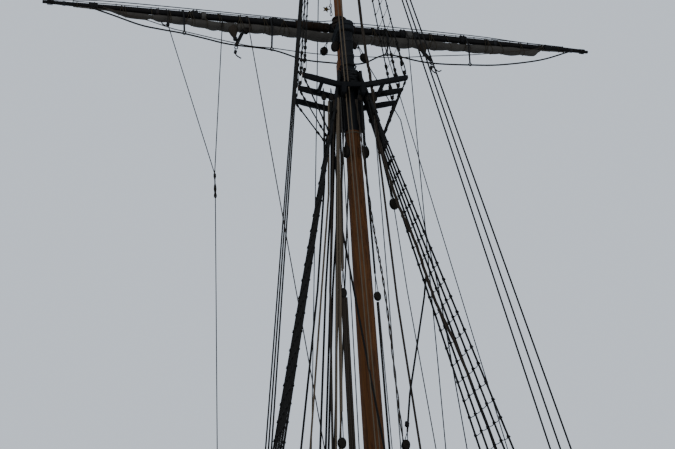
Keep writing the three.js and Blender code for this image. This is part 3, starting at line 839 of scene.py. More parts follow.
# standing rigging
def legs_of(side):
    """Every rope that is set up on a side's channel, as foot, head and radius"""
    x, z = SHROUD_TOP
    heads = [(side * x, y, z) for y in SHROUD_HEADS]
    heads += [(side * 0.142, y, 22.196 + 0.026 * i) for i, y in enumerate(BACKSTAY_HEADS)]
    feet = [(side * SIDE_X, y, DEADEYE_Z) for y in SHROUD_FEET + BACKSTAY_FEET]
    radii = [SHROUD_R] * len(SHROUD_FEET) + [BACKSTAY_R] * len(BACKSTAY_FEET)
    return [(Vector(foot), Vector(head), r) for foot, head, r in zip(feet, heads, radii)]


def shroud_at(i, side, z):
    foot, head, _ = legs_of(side)[i]
    return foot.lerp(head, (z - DEADEYE_Z) / (SHROUD_TOP[1] - DEADEYE_Z))


def crosstree_ends(side, z):
    x = 1.065
    return [Vector((side * x, y - 0.4 * (x - 0.26) / 0.85, z)) for y in CROSSTREES.values()]


def deadeye(r, thick):
    profile = [(0.5, 0.7), (0.46, 0.86), (0.3, 0.98), (0.12, 0.93)]
    stations = [(-t * thick, r * s) for t, s in profile] + [(t * thick, r * s) for t, s in reversed(profile)]
    eye = smooth(turned(stations, 28))
    for spot in hole_spots(r):
        cut(eye, drum(12, r * 0.15, thick * 3, spot))
    return smooth(eye)


def hole_spots(r):
    """The middles of a deadeye's three holes"""
    turns = [math.tau * (i / 3 + 0.25) for i in range(3)]
    return [Vector((math.cos(a) * r * 0.46, math.sin(a) * r * 0.46, 0)) for a in turns]


def axes_place(centre, up, face):
    """A place whose +Z is the face's normal and whose +Y points up as far as that lets it"""
    face, up = Vector(face).normalized(), Vector(up)
    up = (up - face * up.dot(face)).normalized()
    return Matrix.Translation(centre) @ Matrix((up.cross(face), up, face)).transposed().to_4x4()


def set_up(foot, head, side, r, how):
    """Sets a rope up with two deadeyes: their places, the lanyard, the rope turned round one, its seizings"""
    unit = (head - foot).normalized()
    face = Vector((unit.z * side, 0, -unit.x * side)).normalized()
    beside = unit.cross(face).normalized()
    upper_at = foot + unit * how["gap"]
    facing, upper = axes_place(foot, unit, face), axes_place(upper_at, unit, face)
    eye_r, thick = how["eye"]
    half = Z * (thick / 2 + 0.012)
    first, second, third = hole_spots(eye_r)
    lanyard = []
    for spot in (second, first, third):
        below = Vector((spot.x, -spot.y, 0))
        lanyard += [upper @ (spot - half), upper @ (spot + half)]
        lanyard += [facing @ (below + half), facing @ (below - half)]
    nip = upper_at + unit * how["nip"]
    low, high = how["rise"]
    one, other, tail = how["apart"]
    line = [head, nip + unit * low, nip + beside * (r + one)]
    line += around(upper_at, beside, -unit, how["bight"] + r, 0, 0.5, how["steps"])
    line += [nip - beside * (r + other), nip + unit * high - beside * tail * r]
    reach, wide, pitch = how["turns"]
    spots = [nip + unit * up - beside * r for up in how["ups"]]
    seizings = [wrapping(spot - unit * reach, spot + unit * reach, wide * r, pitch) for spot in spots]
    return [axes_place(foot, -unit, face), upper], lanyard, line, seizings


def make_lower_rigging(name, side):
    eyes, ropes, lanyards, seizings = [], {SHROUD_R: [], BACKSTAY_R: []}, [], []
    for foot, head, r in legs_of(side):
        pair, lanyard, line, turns = set_up(foot, head, side, r, SHROUD_SET)
        eyes += pair
        lanyards.append(lanyard + [pair[1] @ Vector((0, 0.2, 0.05))])
        ropes[r].append(line)
        seizings += turns
    done(copies(deadeye(*SHROUD_SET["eye"]), eyes), f"deadeyes_{name}", BLOCK_WOOD)
    rope(f"shrouds_{name}", ropes[SHROUD_R], SHROUD_R, TARRED, fineness=2, nodes=[f"lower_shrouds_{name}"])
    nodes = [f"backstay_{name}_{i}" for i in (1, 2, 3)]
    rope(f"backstays_{name}", ropes[BACKSTAY_R], BACKSTAY_R, TARRED, nodes=nodes)
    rope(f"lanyards_{name}", lanyards, 0.011, TARRED)
    rope(f"shroud_seizings_{name}", seizings, 0.0065, TWINE, fineness=0)


def make_sheer_pole(name, side):
    out = X * side * 0.04
    a, b = [shroud_at(i, side, SHEER_POLE_Z) + out for i in (0, 4)]
    bar = pole(a, b, 0.019, 0.012, 16)
    done(bar, f"sheer_pole_{name}", IRON)
    lashings = []
    for i in range(5):
        low, high = [shroud_at(i, side, SHEER_POLE_Z + dz) + out * 0.5 for dz in (-0.06, 0.06)]
        lashings.append(wrapping(low, high, 0.044, 0.013))
    rope(f"sheer_pole_lashings_{name}", lashings, 0.0065, TWINE, fineness=0)


def make_ratlines(name, side):
    lines, knots = [], []
    out = Vector((side * (SHROUD_R + 0.007), 0, 0.004))
    past = Vector((0, 0.03, -0.01))
    for row in range(29):
        z = 2.3 + 0.355 * row
        spots = [shroud_at(i, side, z + 0.012 * math.sin(2.3 * row + 1.7 * i)) for i in range(5)]
        line = []
        for a, b in zip(spots, spots[1:]):
            line += hanging(a + out, b + out, 0.02 * abs(a.y - b.y) + 0.004, 4)[:-1]
        line.append(spots[-1] + out)
        line[0], line[-1] = line[0] + past, line[-1] + Vector((0, -past.y, past.z))
        lines.append(line)
        for i, spot in enumerate(spots):
            unit = (shroud_at(i, side, 13) - shroud_at(i, side, 2)).normalized()
            knots.append(wrapping(spot - unit * 0.02, spot + unit * 0.022, SHROUD_R + 0.006, 0.017))
    rope(f"ratlines_{name}", lines, 0.0085, TARRED)
    rope(f"ratline_hitches_{name}", knots, 0.008, TARRED, fineness=0)


def strap(points, wide, thick):
    """A flat iron strap in the plane of X and Z along the points, as wide as given along Y"""
    strip = start(bpy.ops.mesh.primitive_plane_add, size=1)
    strip.scale, strip.location = (thick, wide, 1), points[0]
    placed(strip)
    open_edit()
    for a, b in zip(points, points[1:]):
        extrude(Vector(b) - Vector(a))
    outward()
    return bevelled(strip, 0.002, 1)


def make_channel(name, side):
    board = box((0.21, 4.94, 0.08), (side * 3.055, -2.65, 0.89))
    for point in board.data.vertices:
        if point.co.x * side > 3.1:
            point.co.y += 0.08 if point.co.y < -2 else -0.08
    done(bevelled(board, 0.012, 3), f"channel_board_{name}", BLACK, [f"channel_{name}"])
    irons = []
    outer, hull = side * (SIDE_X - 0.001), side * (HULL_X + 0.012)
    for foot, head, _ in legs_of(side):
        unit, y = (head - foot).normalized(), foot.y
        bends = [(outer, y, 0.97), (outer, y, 0.82), (hull, y, 0.40), (hull, y, 0.05)]
        irons.append(strap(bends, 0.052, 0.014))
        place = axes_place(foot, unit, (unit.z * side, 0, -unit.x * side))
        irons.append(torus(0.102, 0.011, (28, 8), place))
        for z in (0.34, 0.2, 0.09):
            bolt = [(0, 0.017), (0.01, 0.017), (0.016, 0.009)]
            irons.append(smooth(turned_along(X * side, bolt, 10, (side * (HULL_X + 0.019), y, z))))
    done(irons, f"chainplates_{name}", IRON)


def make_shroud_eyes(name, side):
    """The served heads of the shrouds: each comes over the bolster and lies round the masthead as an eye"""
    loops, seizings = [], []
    beside = Vector((0, -0.052, 0))
    for k, y in enumerate(SHROUD_HEADS):
        z = 13.682 + 0.041 * (2 * k + (side < 0))
        wide = 0.197 + 0.012 * math.sin(2.6 * k + side)
        eye = []
        for i, degrees in enumerate(range(22, 339, 15)):
            a, wobble = math.radians(degrees), 0.014 * math.sin(1.9 * k + i)
            x = side * (wide + 0.25 * wobble) * math.cos(a)
            eye.append(Vector((x, (0.188 + 0.2 * wobble) * math.sin(a), z + wobble)))
        nip = shroud_at(k, side, z - 0.16)
        up = [shroud_at(k, side, 12.2), shroud_at(k, side, 13.1), nip]
        up.append(Vector((side * 0.238, y + 0.02, z - 0.012)))
        down = [Vector((side * 0.238, y - 0.03, z - 0.012)), nip + beside]
        down += [shroud_at(k, side, 13.1) + beside, shroud_at(k, side, 12.75) + beside * 0.9]
        loops.append(up + eye + down)
        for at in (13.28, 12.95):
            low, high = [shroud_at(k, side, at + dz) + beside / 2 for dz in (0, 0.07)]
            seizings.append(wrapping(low, high, 0.052, 0.013))
    rope(f"shroud_eyes_{name}", loops, 0.025, SERVED, fineness=2)
    rope(f"shroud_eye_seizings_{name}", seizings, 0.007, TARRED)
    bolster = bevelled(plank((side * 0.16, -0.21, 13.6003), (side * 0.236, 0.27, 13.655), 0.004), 0.018, 3)
    done(bolster, f"bolster_{name}", BLACK)
    batten = plank((side * 0.62, -0.385, 13.612), (side * 0.68, 0.085, 13.7), 0.008)
    done(batten, f"crosstree_batten_{name}", BLACK)
    ends = []
    for y in CROSSTREES.values():
        ends.append(plank((side * 1.1102, y - 0.437, 13.625), (side * 1.114, y - 0.365, 13.69), 0.0015))
    done(ends, f"crosstree_ends_{name}", RAIL_PINE)


def make_masthead():
    done(plank((0.295, 0.265, 13.7126), (0.365, 0.332, 14.28), 0.012), "masthead_post", BLACK)
    z = 12.62
    ring = around((0, 0, z), X, Y, mast_radius(z) + 0.007, 0, 1, 40)
    rope("masthead_whipping", [ring, [p + Z * 0.014 for p in ring]], 0.007, HEMP)


def make_futtocks(name, side):
    out = X * side * 0.042
    a, b = [shroud_at(i, side, FUTTOCK_Z) + out for i in (4, 0)]
    done(pole(a, b, 0.016, 0.01, 14), f"futtock_stave_{name}", BLACK)
    legs = [[a.lerp(b, i / 2), end] for i, end in enumerate(crosstree_ends(side, 13.59))]
    rope(f"futtock_legs_{name}", legs, 0.016, TARRED, nodes=[f"futtock_shrouds_{name}"])
    turns = []
    for low, high in legs:
        for t in (0.02, 0.2, 0.8, 0.92):
            turns.append(wrapping(low.lerp(high, t), low.lerp(high, t + 0.06), 0.022, 0.013))
    rope(f"futtock_seizings_{name}", turns, 0.0065, TARRED, fineness=0)


def make_topmast_rigging(name, side):
    eyes, ropes, lanyards, seizings, rails = [], [], [], [], []
    for y, strop_at in zip((0.485, 0.52, 0.555), crosstree_ends(side, 13.718)):
        head = Vector((side * 0.118, y, 22.136))
        foot = strop_at + (head - strop_at).normalized() * 0.063
        pair, lanyard, line, turns = set_up(foot, head, side, TOPMAST_SHROUD_R, TOPMAST_SET)
        eyes += pair
        lanyards.append(lanyard)
        ropes.append(line)
        seizings += turns
        rails.append((pair[1].translation, head))
    done(copies(deadeye(*TOPMAST_SET["eye"]), eyes), f"topmast_deadeyes_{name}", BLOCK_WOOD)
    rope(f"topmast_shroud_ropes_{name}", ropes, TOPMAST_SHROUD_R, TARRED, nodes=[f"topmast_shrouds_{name}"])
    rope(f"topmast_lanyards_{name}", lanyards, 0.0075, TARRED)
    rope(f"topmast_seizings_{name}", seizings, 0.0055, TWINE, fineness=0)
    lines, knots = [], []
    out = X * side * 0.019
    for row in range(20):
        t = 0.055 + row * 0.0415
        spots = [a.lerp(b, t) for a, b in rails]
        aft, middle, fore = [spot + out for spot in spots]
        lines.append(hanging(aft, middle, 0.006, 4)[:-1] + hanging(middle, fore, 0.006, 4))
        for (a, b), spot in zip(rails, spots):
            unit = (b - a).normalized()
            knots.append(wrapping(spot - unit * 0.016, spot + unit * 0.016, 0.02, 0.015))
    rope(f"topmast_ratlines_{name}", lines, 0.007, TARRED)
    rope(f"topmast_hitches_{name}", knots, 0.0065, TARRED, fineness=0)


def stay_line(stay):
    """The stay's top, its direction up from the deck, and the middle of the eye that it is set up on"""
    (top_y, top_z), foot_y = stay["top"], stay["foot"]
    unit = Vector((0, top_y - foot_y, top_z)).normalized()
    return unit, Vector((0, foot_y, 0)) + unit * 0.09


def make_stays():
    for name, stay in STAYS.items():
        unit, eye_at = stay_line(stay)
        heart_at = eye_at + unit * 0.33
        heart = torus(0.088, 0.032, (32, 12), axes_place(heart_at, unit, X), (1, 1, 1.3))
        done(heart, f"{name}_heart", BLOCK_WOOD)
        legs = []
        top_y, top_z = stay["top"]
        for x in stay["apart"]:
            leg = [Vector((x, top_y, top_z)), heart_at + unit * 0.5 + X * x * 0.8]
            if x == stay["apart"][0]:
                leg += around(heart_at, unit, (0, unit.z, -unit.y), 0.125, 0.1, 0.9, 14)
            else:
                leg.append(heart_at + unit * 0.13 + X * x * 0.4)
            legs.append(leg)
        if name == "forestay":
            r, z = 0.178, 14.2
            for x, leg in zip(stay["apart"], legs):
                turns = [math.radians(d) for d in (-88, -60, -20, 20, 60)]
                eye = [Vector((math.copysign(r, x) * math.cos(a), r * math.sin(a), z)) for a in turns]
                leg[:0] = eye + [Vector((x * 1.6, 0.12, 14.18))]
        else:
            turns = [math.radians(d) for d in range(-270, 91, 20)]
            r = 0.092
            legs[0][:0] = [Vector((r * math.cos(a), TOPMAST_Y + r * math.sin(a), top_z)) for a in turns]
        rope(f"{name}_rope", legs, stay["r"], TARRED, fineness=2, nodes=[name])
        turns = []
        for k in range(5):
            across = X * (-0.035 + k * 0.0175)
            turns += [eye_at + across + unit * 0.03, heart_at + across - unit * 0.06]
        rope(f"{name}_lashing", [turns], 0.008, HEMP)


# yards and sails
def yard_radius(spec, x):
    t = abs(x) / spec["half"]
    r, tip = spec["r"], spec["tip"]
    marks = [(0, r), (0.25, 0.97 * r), (0.5, 0.88 * r), (0.75, 0.72 * r), (0.94, tip), (1, 0.86 * tip)]
    for (t0, r0), (t1, r1) in zip(marks, marks[1:]):
        if t <= t1:
            return r0 + (r1 - r0) * (t - t0) / (t1 - t0)
    return marks[-1][1]


def on_yard(spec, x, y=0.0, z=0.0):
    """A point by its place along the yard, forward of its middle line and above it"""
    return spec["frame"] @ Vector((x, YARD_ARM + y, z))


def along_yard(spec, piece, x=0.0):
    """A turned piece laid along the yard, with its base at x"""
    return placed(piece, spec["frame"] @ Matrix.Translation((x, YARD_ARM, 0)) @ Z_TO_X)


def make_yard(spec):
    half = spec["half"]
    marks = [half, half - 0.01] + [half * t for t in (0.94, 0.85, 0.75, 0.62, 0.5, 0.37, 0.25, 0.12)]
    marks = [-m for m in marks] + [0] + marks[::-1]
    spar = turned([(m, yard_radius(spec, m) * (0.85 if abs(m) == half else 1)) for m in marks], 36)
    name = spec["name"]
    done(smooth(along_yard(spec, spar)), f"{name}_spar", YARD_BLACK, [f"{name}_yard"], spec["body"])
    bands = []
    for x in [side * share * half for share in (0.035, 0.31, 0.62, 0.93) for side in (-1, 1)]:
        r = yard_radius(spec, x)
        bands.append(along_yard(spec, hoop(-0.032, 0.032, r - 0.003, r + 0.008, 28), x))
    done(bands, f"{spec['name']}_bands", IRON, body=spec["body"])


def make_yoke(spec):
    """The fork and pin at the yard's pivot, with the strap round the yard"""
    parts = []
    for z in (-0.061, 0.061):
        cheek = bevelled(placed(drum(40, 0.0545, 0.029, (0, 0, z))), 0.004)
        parts += [cheek, plank((-0.047, 0.01, z - 0.0145), (0.047, 0.22, z + 0.0145), 0.004)]
    r = spec["r"]
    at_yard = Matrix.Translation((0, YARD_ARM, 0)) @ Z_TO_X
    parts.append(placed(hoop(-0.06, 0.06, r + 0.003, r + 0.0255, 44), at_yard))
    parts.append(smooth(turned([(-0.0755, 0.018), (-0.073, 0.026), (0.073, 0.026), (0.0755, 0.018)], 28)))
    name = spec["name"]
    done(placed(merged(parts), spec["frame"]), f"{name}_yoke_iron", IRON, [f"{name}_yoke"], spec["body"])


def make_jackstay(spec):
    """The iron rod on the yard's top that the sail is bent to, with its eyebolts, and the lifts above it"""
    name, body, half = spec["name"], spec["body"], spec["half"]
    spots = [0.28 + k * (half * SAIL_REACH - 0.28) / 12 for k in range(13)]
    rods, bolts, eyes = [], [], []
    for side in (-1, 1):
        rods.append([on_yard(spec, side * x, 0.02, yard_radius(spec, x) + 0.045) for x in spots])
        for x in spots:
            r = yard_radius(spec, x)
            bolts.append([on_yard(spec, side * x, 0.02, r - 0.01), on_yard(spec, side * x, 0.02, r + 0.035)])
            eyes.append(around(on_yard(spec, side * x, 0.02, r + 0.045), Y, Z, 0.015, 0, 1, 10))
    rope(f"{name}_jackstay", rods, 0.0095, IRON, body)
    rope(f"{name}_eyebolts", bolts + eyes, 0.0075, IRON, body)
    tip = yard_radius(spec, 0.98 * half) + 0.009
    lifts = [
        [
            (-half * 0.985, 0, tip), (-half * 0.8, 0, 0.15), (-half * 0.45, 0.01, 0.165), (-0.5, 0.02, 0.155),
            (-0.06, 0.03, 0.2),
        ],
        [
            (half * 0.985, 0, tip), (half * 0.72, 0, 0.1), (half * 0.53, 0.01, 0.16), (0.3, 0.02, 0.2),
            (-0.05, 0.03, 0.2),
        ],
    ]
    runs = [smoothed([on_yard(spec, *place) for place in line], 5) for line in lifts]
    for inner, outer in ((-0.965, -0.985), (0.965, 0.985)):
        runs.append(wrapping(on_yard(spec, half * inner), on_yard(spec, half * outer), tip + 0.006, 0.024))
    rope(f"{name}_lifts", runs, 0.0105, TARRED, body)


def roll_radius(spec, x):
    """The roll's own radius: fuller to starboard and at the port clew, thin past the sail's head"""
    t = abs(x) / (spec["half"] * SAIL_REACH)
    head, run_out, slim = (0.86, 0.04, 0.3) if x > 0 else (0.8, 0.08, 0.42)
    end = min(1, max(0, (t - head) / run_out))
    end *= end * (3 - 2 * end)
    lump = spec["fuller"] * min(1, max(0, x / 0.5)) + 0.25 * math.exp(-(((x + 2.6) / 0.45) ** 2))
    full = 1 - slim * min(1, t / 0.85) ** 2 + lump
    return 0.94 * spec["sail"] * (full * (1 - end) + 0.16 * end)


def roll_middle(spec, x):
    spar = spec["r"] + 0.032 - (spec["r"] - spec["tip"]) * (abs(x) / spec["half"]) ** 2.2
    return -spar - roll_radius(spec, x) * 1.12


def roll_point(spec, x, v):
    """The place on the rolled sheet, x along the yard and v of the way out of the roll: forward and up"""
    seed = Vector((3.1 * len(spec["name"]), 7.7 * spec["half"], 1.3))
    pinches, reach = spec["gaskets"], spec["half"] * SAIL_REACH
    nearest = min(pinches, key=lambda p: abs(x - p))
    gap = abs(x - nearest)
    left = max([p for p in pinches if p <= x], default=-reach)
    right = min([p for p in pinches if p > x], default=reach)
    slack = math.sin(math.pi * (x - left) / max(0.05, right - left)) * min(1, (right - left) / 0.5)
    depth = 0.09 + 0.27 * math.exp(-(((nearest + 4.1) / 0.1) ** 2))
    pinch = 1 - depth * math.exp(-((gap / 0.09) ** 2)) + 0.1 * slack
    belly = 1 + 0.16 * noise.noise(Vector((x * 1.1, 0, 0)) + seed)
    belly += 0.06 * noise.noise(Vector((x * 4.0, 1, 0)) + seed)
    angle = math.tau * ROLL_TURNS * v + 0.9
    c, s = math.cos(angle), math.sin(angle)
    fold = 0.2 * noise.noise(Vector((x * 1.3 + 0.9 * s, c * 1.4, s * 1.4 + v)) + seed)
    fold += 0.1 * noise.noise(Vector((x * 6.0 + 2.2 * s, c * 2.4, s * 2.4)) + seed)
    thick = roll_radius(spec, x)
    r = thick * (0.22 + 0.78 * v ** 0.9) * pinch * belly * (1 + fold * v)
    low = 0.05 * math.exp(-(((x + 0.25) / 0.35) ** 2)) * spec["sail"] / LOWER["sail"]
    forward = -0.015 + 1.08 * r * c
    up = roll_middle(spec, x) + 0.042 + 0.86 * r * s - low
    up -= 0.05 * thick * slack
    up += 0.3 * thick * (1 - min(1, pinch))
    apart = yard_radius(spec, x) + 0.004 + 0.012 * (1 - v)
    near = math.hypot(forward, up)
    if near < apart:
        forward, up = forward * apart / near, up * apart / near
    return forward, up


def make_sail(spec):
    """The sail, rolled up in several turns under its yard and pinched by its gaskets"""
    name, reach = spec["name"], spec["half"] * SAIL_REACH
    sheet = start(
        bpy.ops.mesh.primitive_grid_add, x_subdivisions=300, y_subdivisions=ROLL_TURNS * 18, size=2,
        calc_uvs=True,
    )
    for point in sheet.data.vertices:
        x = point.co.x * reach
        point.co = on_yard(spec, x, *roll_point(spec, x, (point.co.y + 1) / 2))
    for item in sheet.data.uv_layers.active.data:
        item.uv = (item.uv[0] * 2 * reach, item.uv[1] * ROLL_LENGTH)
    hold(sheet)
    bpy.ops.object.shade_smooth()
    roll = done(sheet, f"{name}_rolled_sail", CANVAS, [f"{name}_furled_sail"], spec["body"])


def make_gaskets(spec):
    """Thin rope turns drawn tight round the yard and the roll together, no two at the same slant"""
    turns = []
    for k, x in enumerate(spec["gaskets"]):
        for extra in range(1 + (k * 7) % 3):
            at = x + 0.05 * extra + 0.012 * math.sin(k * 5 + extra)
            r = yard_radius(spec, at)
            places = [(r * math.cos(a), r * math.sin(a)) for a in [math.tau * i / 20 for i in range(20)]]
            places += [roll_point(spec, at, 1 - i / (24 * ROLL_TURNS)) for i in range(24)]
            rim = [Vector(places[i]) for i in convex_hull_2d(places)]
            middle = sum(rim, Vector((0, 0))) / len(rim)
            slant = 0.045 * math.sin(4.1 * k + 2.0 * extra)
            loop = []
            for place in rim:
                away = place - middle
                forward, up = place + away.normalized() * 0.007
                loop.append(on_yard(spec, at + slant * away.y / 0.12, forward, up))
            turns.append(loop + loop[:1])
    rope(f"{spec['name']}_gaskets", turns, 0.0068, GASKET, spec["body"])


def make_footropes(spec):
    """The ropes that hang aft of the yard for the crew's feet, on stirrups with thimbles"""
    name, body = spec["name"], spec["body"]
    share, drop = spec["half"] / LOWER["half"], spec["drop"]

    def hung(x, z, behind):
        """Nearer to the yard's plane between the topmast shrouds, so that a braced yard keeps clear"""
        close = max(0, 1 - (abs(x) / 2.2) ** 4)
        return on_yard(spec, x, -behind + 0.13 * close, z + 0.04 * close)

    thick = [(x * share, drop * z) for x, z in FOOTROPE]
    run = smoothed([hung(x, z, 0.16 if abs(x) < 5.3 * share else 0.045) for x, z in thick], 5)
    rope(f"{name}_footropes", [run], 0.018, TARRED, body)
    run = smoothed([hung(x * share, drop * z, 0.19 if abs(x) < 5 else 0.06) for x, z in BACKROPE], 5)
    rope(f"{name}_backropes", [run], 0.0105, DARK_HEMP, body)
    stirrups, thimbles = [], []
    for x, low in [thick[i] for i in STIRRUPS]:
        r = yard_radius(spec, x) + 0.018
        stirrups.append([
            on_yard(spec, x, 0.02, r), on_yard(spec, x, -0.7 * r, 0.72 * r), on_yard(spec, x, -r, 0),
            on_yard(spec, x, -1.3 * roll_radius(spec, x) - 0.04, roll_middle(spec, x)),
            hung(x, low + 0.05, 0.165),
        ])
        thimbles.append(around(hung(x, low + 0.012, 0.16), X, Z, 0.034, 0, 1, 14))
    rope(f"{name}_stirrups", stirrups, 0.021, SERVED, body)
    rope(f"{name}_thimbles", thimbles, 0.012, SERVED, body)


def make_cap_collar():
    """Leather and rope turns round the topmast above the cap"""
    stations = [(15.47, 0.1), (15.48, 0.116), (15.68, 0.116), (15.69, 0.1)]
    sleeve = smooth(turned(stations, 32, (0, TOPMAST_Y, 0)))
    done(sleeve, "topmast_leather", LEATHER)
    rings = []
    for k, z in enumerate((15.5, 15.55, 15.602, 15.652)):
        lean = Vector((1, 0, (-1) ** k * 0.012 / 0.142))
        rings.append([
            Vector((0, TOPMAST_Y, z)) + 0.142 * (lean * math.cos(a) + Y * math.sin(a))
            for a in [math.tau * i / 32 for i in range(33)]
        ])
    rope("topmast_collar", rings, 0.025, SERVED_BROWN, fineness=2)


# blocks and chains
def block_master(stretch):
    """A wooden block 0.15 m high or more: two cheeks, a grooved sheave and its pin, which lies along Y"""
    parts = []
    for side in (-1, 1):
        cheek = turned_along(Y * side, [
            (0, 0.05), (0.005, 0.056), (0.014, 0.057), (0.021, 0.05), (0.026, 0.036), (0.028, 0.016),
        ], 24, (0, side * 0.016, 0))
        cheek.scale = (1, 1, stretch)
        parts.append(smooth(placed(cheek), 50))
    for z in (-0.046 * stretch, 0.046 * stretch):
        parts.append(plank((-0.034, -0.017, z - 0.01), (0.034, 0.017, z + 0.01), 0.005))
    for profile, sides in (
        ([(-0.014, 0.05), (-0.005, 0.042), (0.005, 0.042), (0.014, 0.05)], 20),
        ([(-0.05, 0.008), (-0.048, 0.011), (0.048, 0.011), (0.05, 0.008)], 12),
    ):
        parts.append(smooth(turned_along(Y, profile, sides, (0, 0, 0))))
    return merged(parts)


def block_place(centre, hang, size, face=(0.2, -1, 0)):
    """The place of a block whose crown points at the place that it hangs from"""
    up, face = (Vector(hang) - Vector(centre)).normalized(), Vector(face)
    face = (face - up * face.dot(up)).normalized()
    turn = Matrix((face.cross(up).normalized(), -face, up)).transposed().to_4x4()
    return Matrix.Translation(centre) @ turn @ Matrix.Scale(size, 4)


def strop(place, hang, stretch):
    """A rope round a block's shell, crossed at its crown and going up to the place that it hangs from"""
    angles = [math.radians(d) for d in range(-160, 161, 20)]
    shell = [place @ Vector((0.062 * math.sin(a), 0, -0.061 * stretch * math.cos(a))) for a in angles]
    return [Vector(hang), *shell, Vector(hang)]


def make_blocks(name, spots, body="mast", stretch=1.35):
    """Blocks with their strops, from [centre, place that it hangs from, size]"""
    places = [block_place(*spot) for spot in spots]
    done(copies(block_master(stretch), places), name, BLOCK_WOOD, body=body)
    strops = [strop(place, hang, stretch) for place, (_, hang, _) in zip(places, spots)]
    rope(f"{name}_strops", strops, 0.009, SERVED, body)


def make_chains(name, spans, link, body):
    """Short chains between pairs of places"""
    places = []
    for a, b in spans:
        a, b = Vector(a), Vector(b)
        unit = (b - a).normalized()
        count = max(2, round((b - a).length / (1.35 * link)))
        flat = unit.orthogonal()
        turns = [flat.normalized(), unit.cross(flat).normalized()]
        places += [axes_place(a.lerp(b, (i + 0.5) / count), unit, turns[i % 2]) for i in range(count)]
    master = torus(link * 0.5, link * 0.13, (16, 8), scale=(0.72, 1.25, 1))
    done(smooth(copies(master, places), 60), name, IRON, body=body)


def make_yard_dressing():
    """Chafing sleeves, wraps and lumps of rope on the lower topsail yard"""
    spec, body, name = LOWER, LOWER["body"], LOWER["name"]
    for kind, finish, spans in (
        ("yard_leathers", LEATHER, ((-0.86, -0.09, 0.016), (0.14, 0.52, 0.016))),
        ("yard_wraps", GREY_HEMP, ((1.74, 1.92, 0.014), (-3.0, -2.9, 0.012))),
    ):
        made = []
        for x0, x1, grow in spans:
            r0, r1, length = yard_radius(spec, x0) + grow, yard_radius(spec, x1) + grow, x1 - x0
            sleeve = turned([
                (0, r0 - grow), (0.004, r0), (length * 0.25, r0 + 0.004), (length * 0.5, r0 - 0.002),
                (length * 0.75, r1 + 0.004), (length - 0.004, r1), (length, r1 - grow),
            ], 28)
            made.append(smooth(along_yard(spec, sleeve, x0)))
        done(made, f"{name}_{kind}", finish, body=body)
    brown, black, lumps = [], [], []
    for x0, x1 in (
        (-0.85, -0.76), (-0.68, -0.6), (-0.5, -0.47), (-0.36, -0.26), (-0.2, -0.1), (0.16, 0.24),
        (0.34, 0.38),
        (0.43, 0.51),
    ):
        r = yard_radius(spec, (x0 + x1) / 2) + 0.024
        brown.append(wrapping(on_yard(spec, x0), on_yard(spec, x1), r, 0.022))
    for x0, x1 in ((-5.42, -5.25), (-3.2, -3.08), (-1.4, -1.16), (3.1, 3.26), (1.62, 1.7), (5.25, 5.4)):
        r = yard_radius(spec, (x0 + x1) / 2) + 0.014
        black.append(wrapping(on_yard(spec, x0), on_yard(spec, x1), r, 0.026))
        if abs(x0) < 4:
            for dx in (0.03, 0.1):
                spot = on_yard(spec, x0 + dx, -0.02, r + 0.012)
                lumps.append(around(spot, (1, 0.3, 0), (0, 0.4, 1), 0.022, 0.1, 1.05, 12))
    rope(f"{name}_sleeve_turns", brown, 0.0095, SERVED_BROWN, body)
    rope(f"{name}_stirrup_turns", black, 0.014, SERVED, body)
    rope(f"{name}_stirrup_knots", lumps, 0.014, SERVED, body)


def make_clews():
    """The sail's two lower corners, drawn up under the yard, with their lashings and irons"""
    name, body = LOWER["name"], LOWER["body"]
    shape = [(0, 0.08), (0.2, 0.115), (0.4, 0.1), (0.62, 0.07), (0.82, 0.045), (0.95, 0.034), (1, 0.022)]
    corners, lashings, irons, tails = [], [], [], []
    for ends in (
        ((-2.34, 0.88, 15.6), (-2.285, 0.85, 15.26), (-2.12, 0.86, 15.42), (-2.27, 0.84, 15.1)),
        ((2.08, 1.39, 15.58), (2.11, 1.37, 15.29), (2.07, 1.36, 15.37), (2.24, 1.3, 15.09)),
    ):
        head, tip, high, low = [Vector(place) for place in ends]
        reach = (tip - head).length
        cone = turned_along((tip - head).normalized(), [(reach * t, r) for t, r in shape], 24, head)
        for i, point in enumerate(cone.data.vertices):
            away = point.co - head
            point.co.x += 0.012 * math.sin(away.x * 60) * math.cos(away.y * 40)
            point.co.y += 0.008 * math.sin(i * 1.7)
        corners.append(smooth(cone, 60))
        for shift in (Vector((-0.018, 0, 0)), Vector((0.018, 0.012, 0.02))):
            lashings.append(wrapping(high + shift, low + shift, 0.018, 0.022))
        lashings.append(wrapping(tip + Z * 0.05, tip - Z * 0.03, 0.038, 0.02))
        irons.append(around(low - Z * 0.05, X, Z, 0.034, 0, 1, 14))
        irons.append([high, high + Vector((0, 0.06, 0.3))])
        knot = low - Vector((0.01, 0, 0.12))
        lashings.append(wrapping(knot, knot - Vector((0.02, 0, 0.07)), 0.024, 0.02))
        tails.append([knot + Vector((x, 0, z)) for x, z in ((-0.02, -0.06), (0.02, -0.13), (0.11, -0.19))])
    done(corners, f"{name}_clew_corners", CLEW_CANVAS, body=body)
    rope(f"{name}_clew_lashings", lashings, 0.0125, SERVED, body)
    rope(f"{name}_clew_irons", irons, 0.012, IRON, body)
    tails.append([(2.24, 1.29, 14.97), (2.36, 1.27, 14.83), (2.44, 1.26, 14.85)])
    rope(f"{name}_clew_tails", [smoothed(tail, 4) for tail in tails], 0.014, SERVED_BROWN, body)


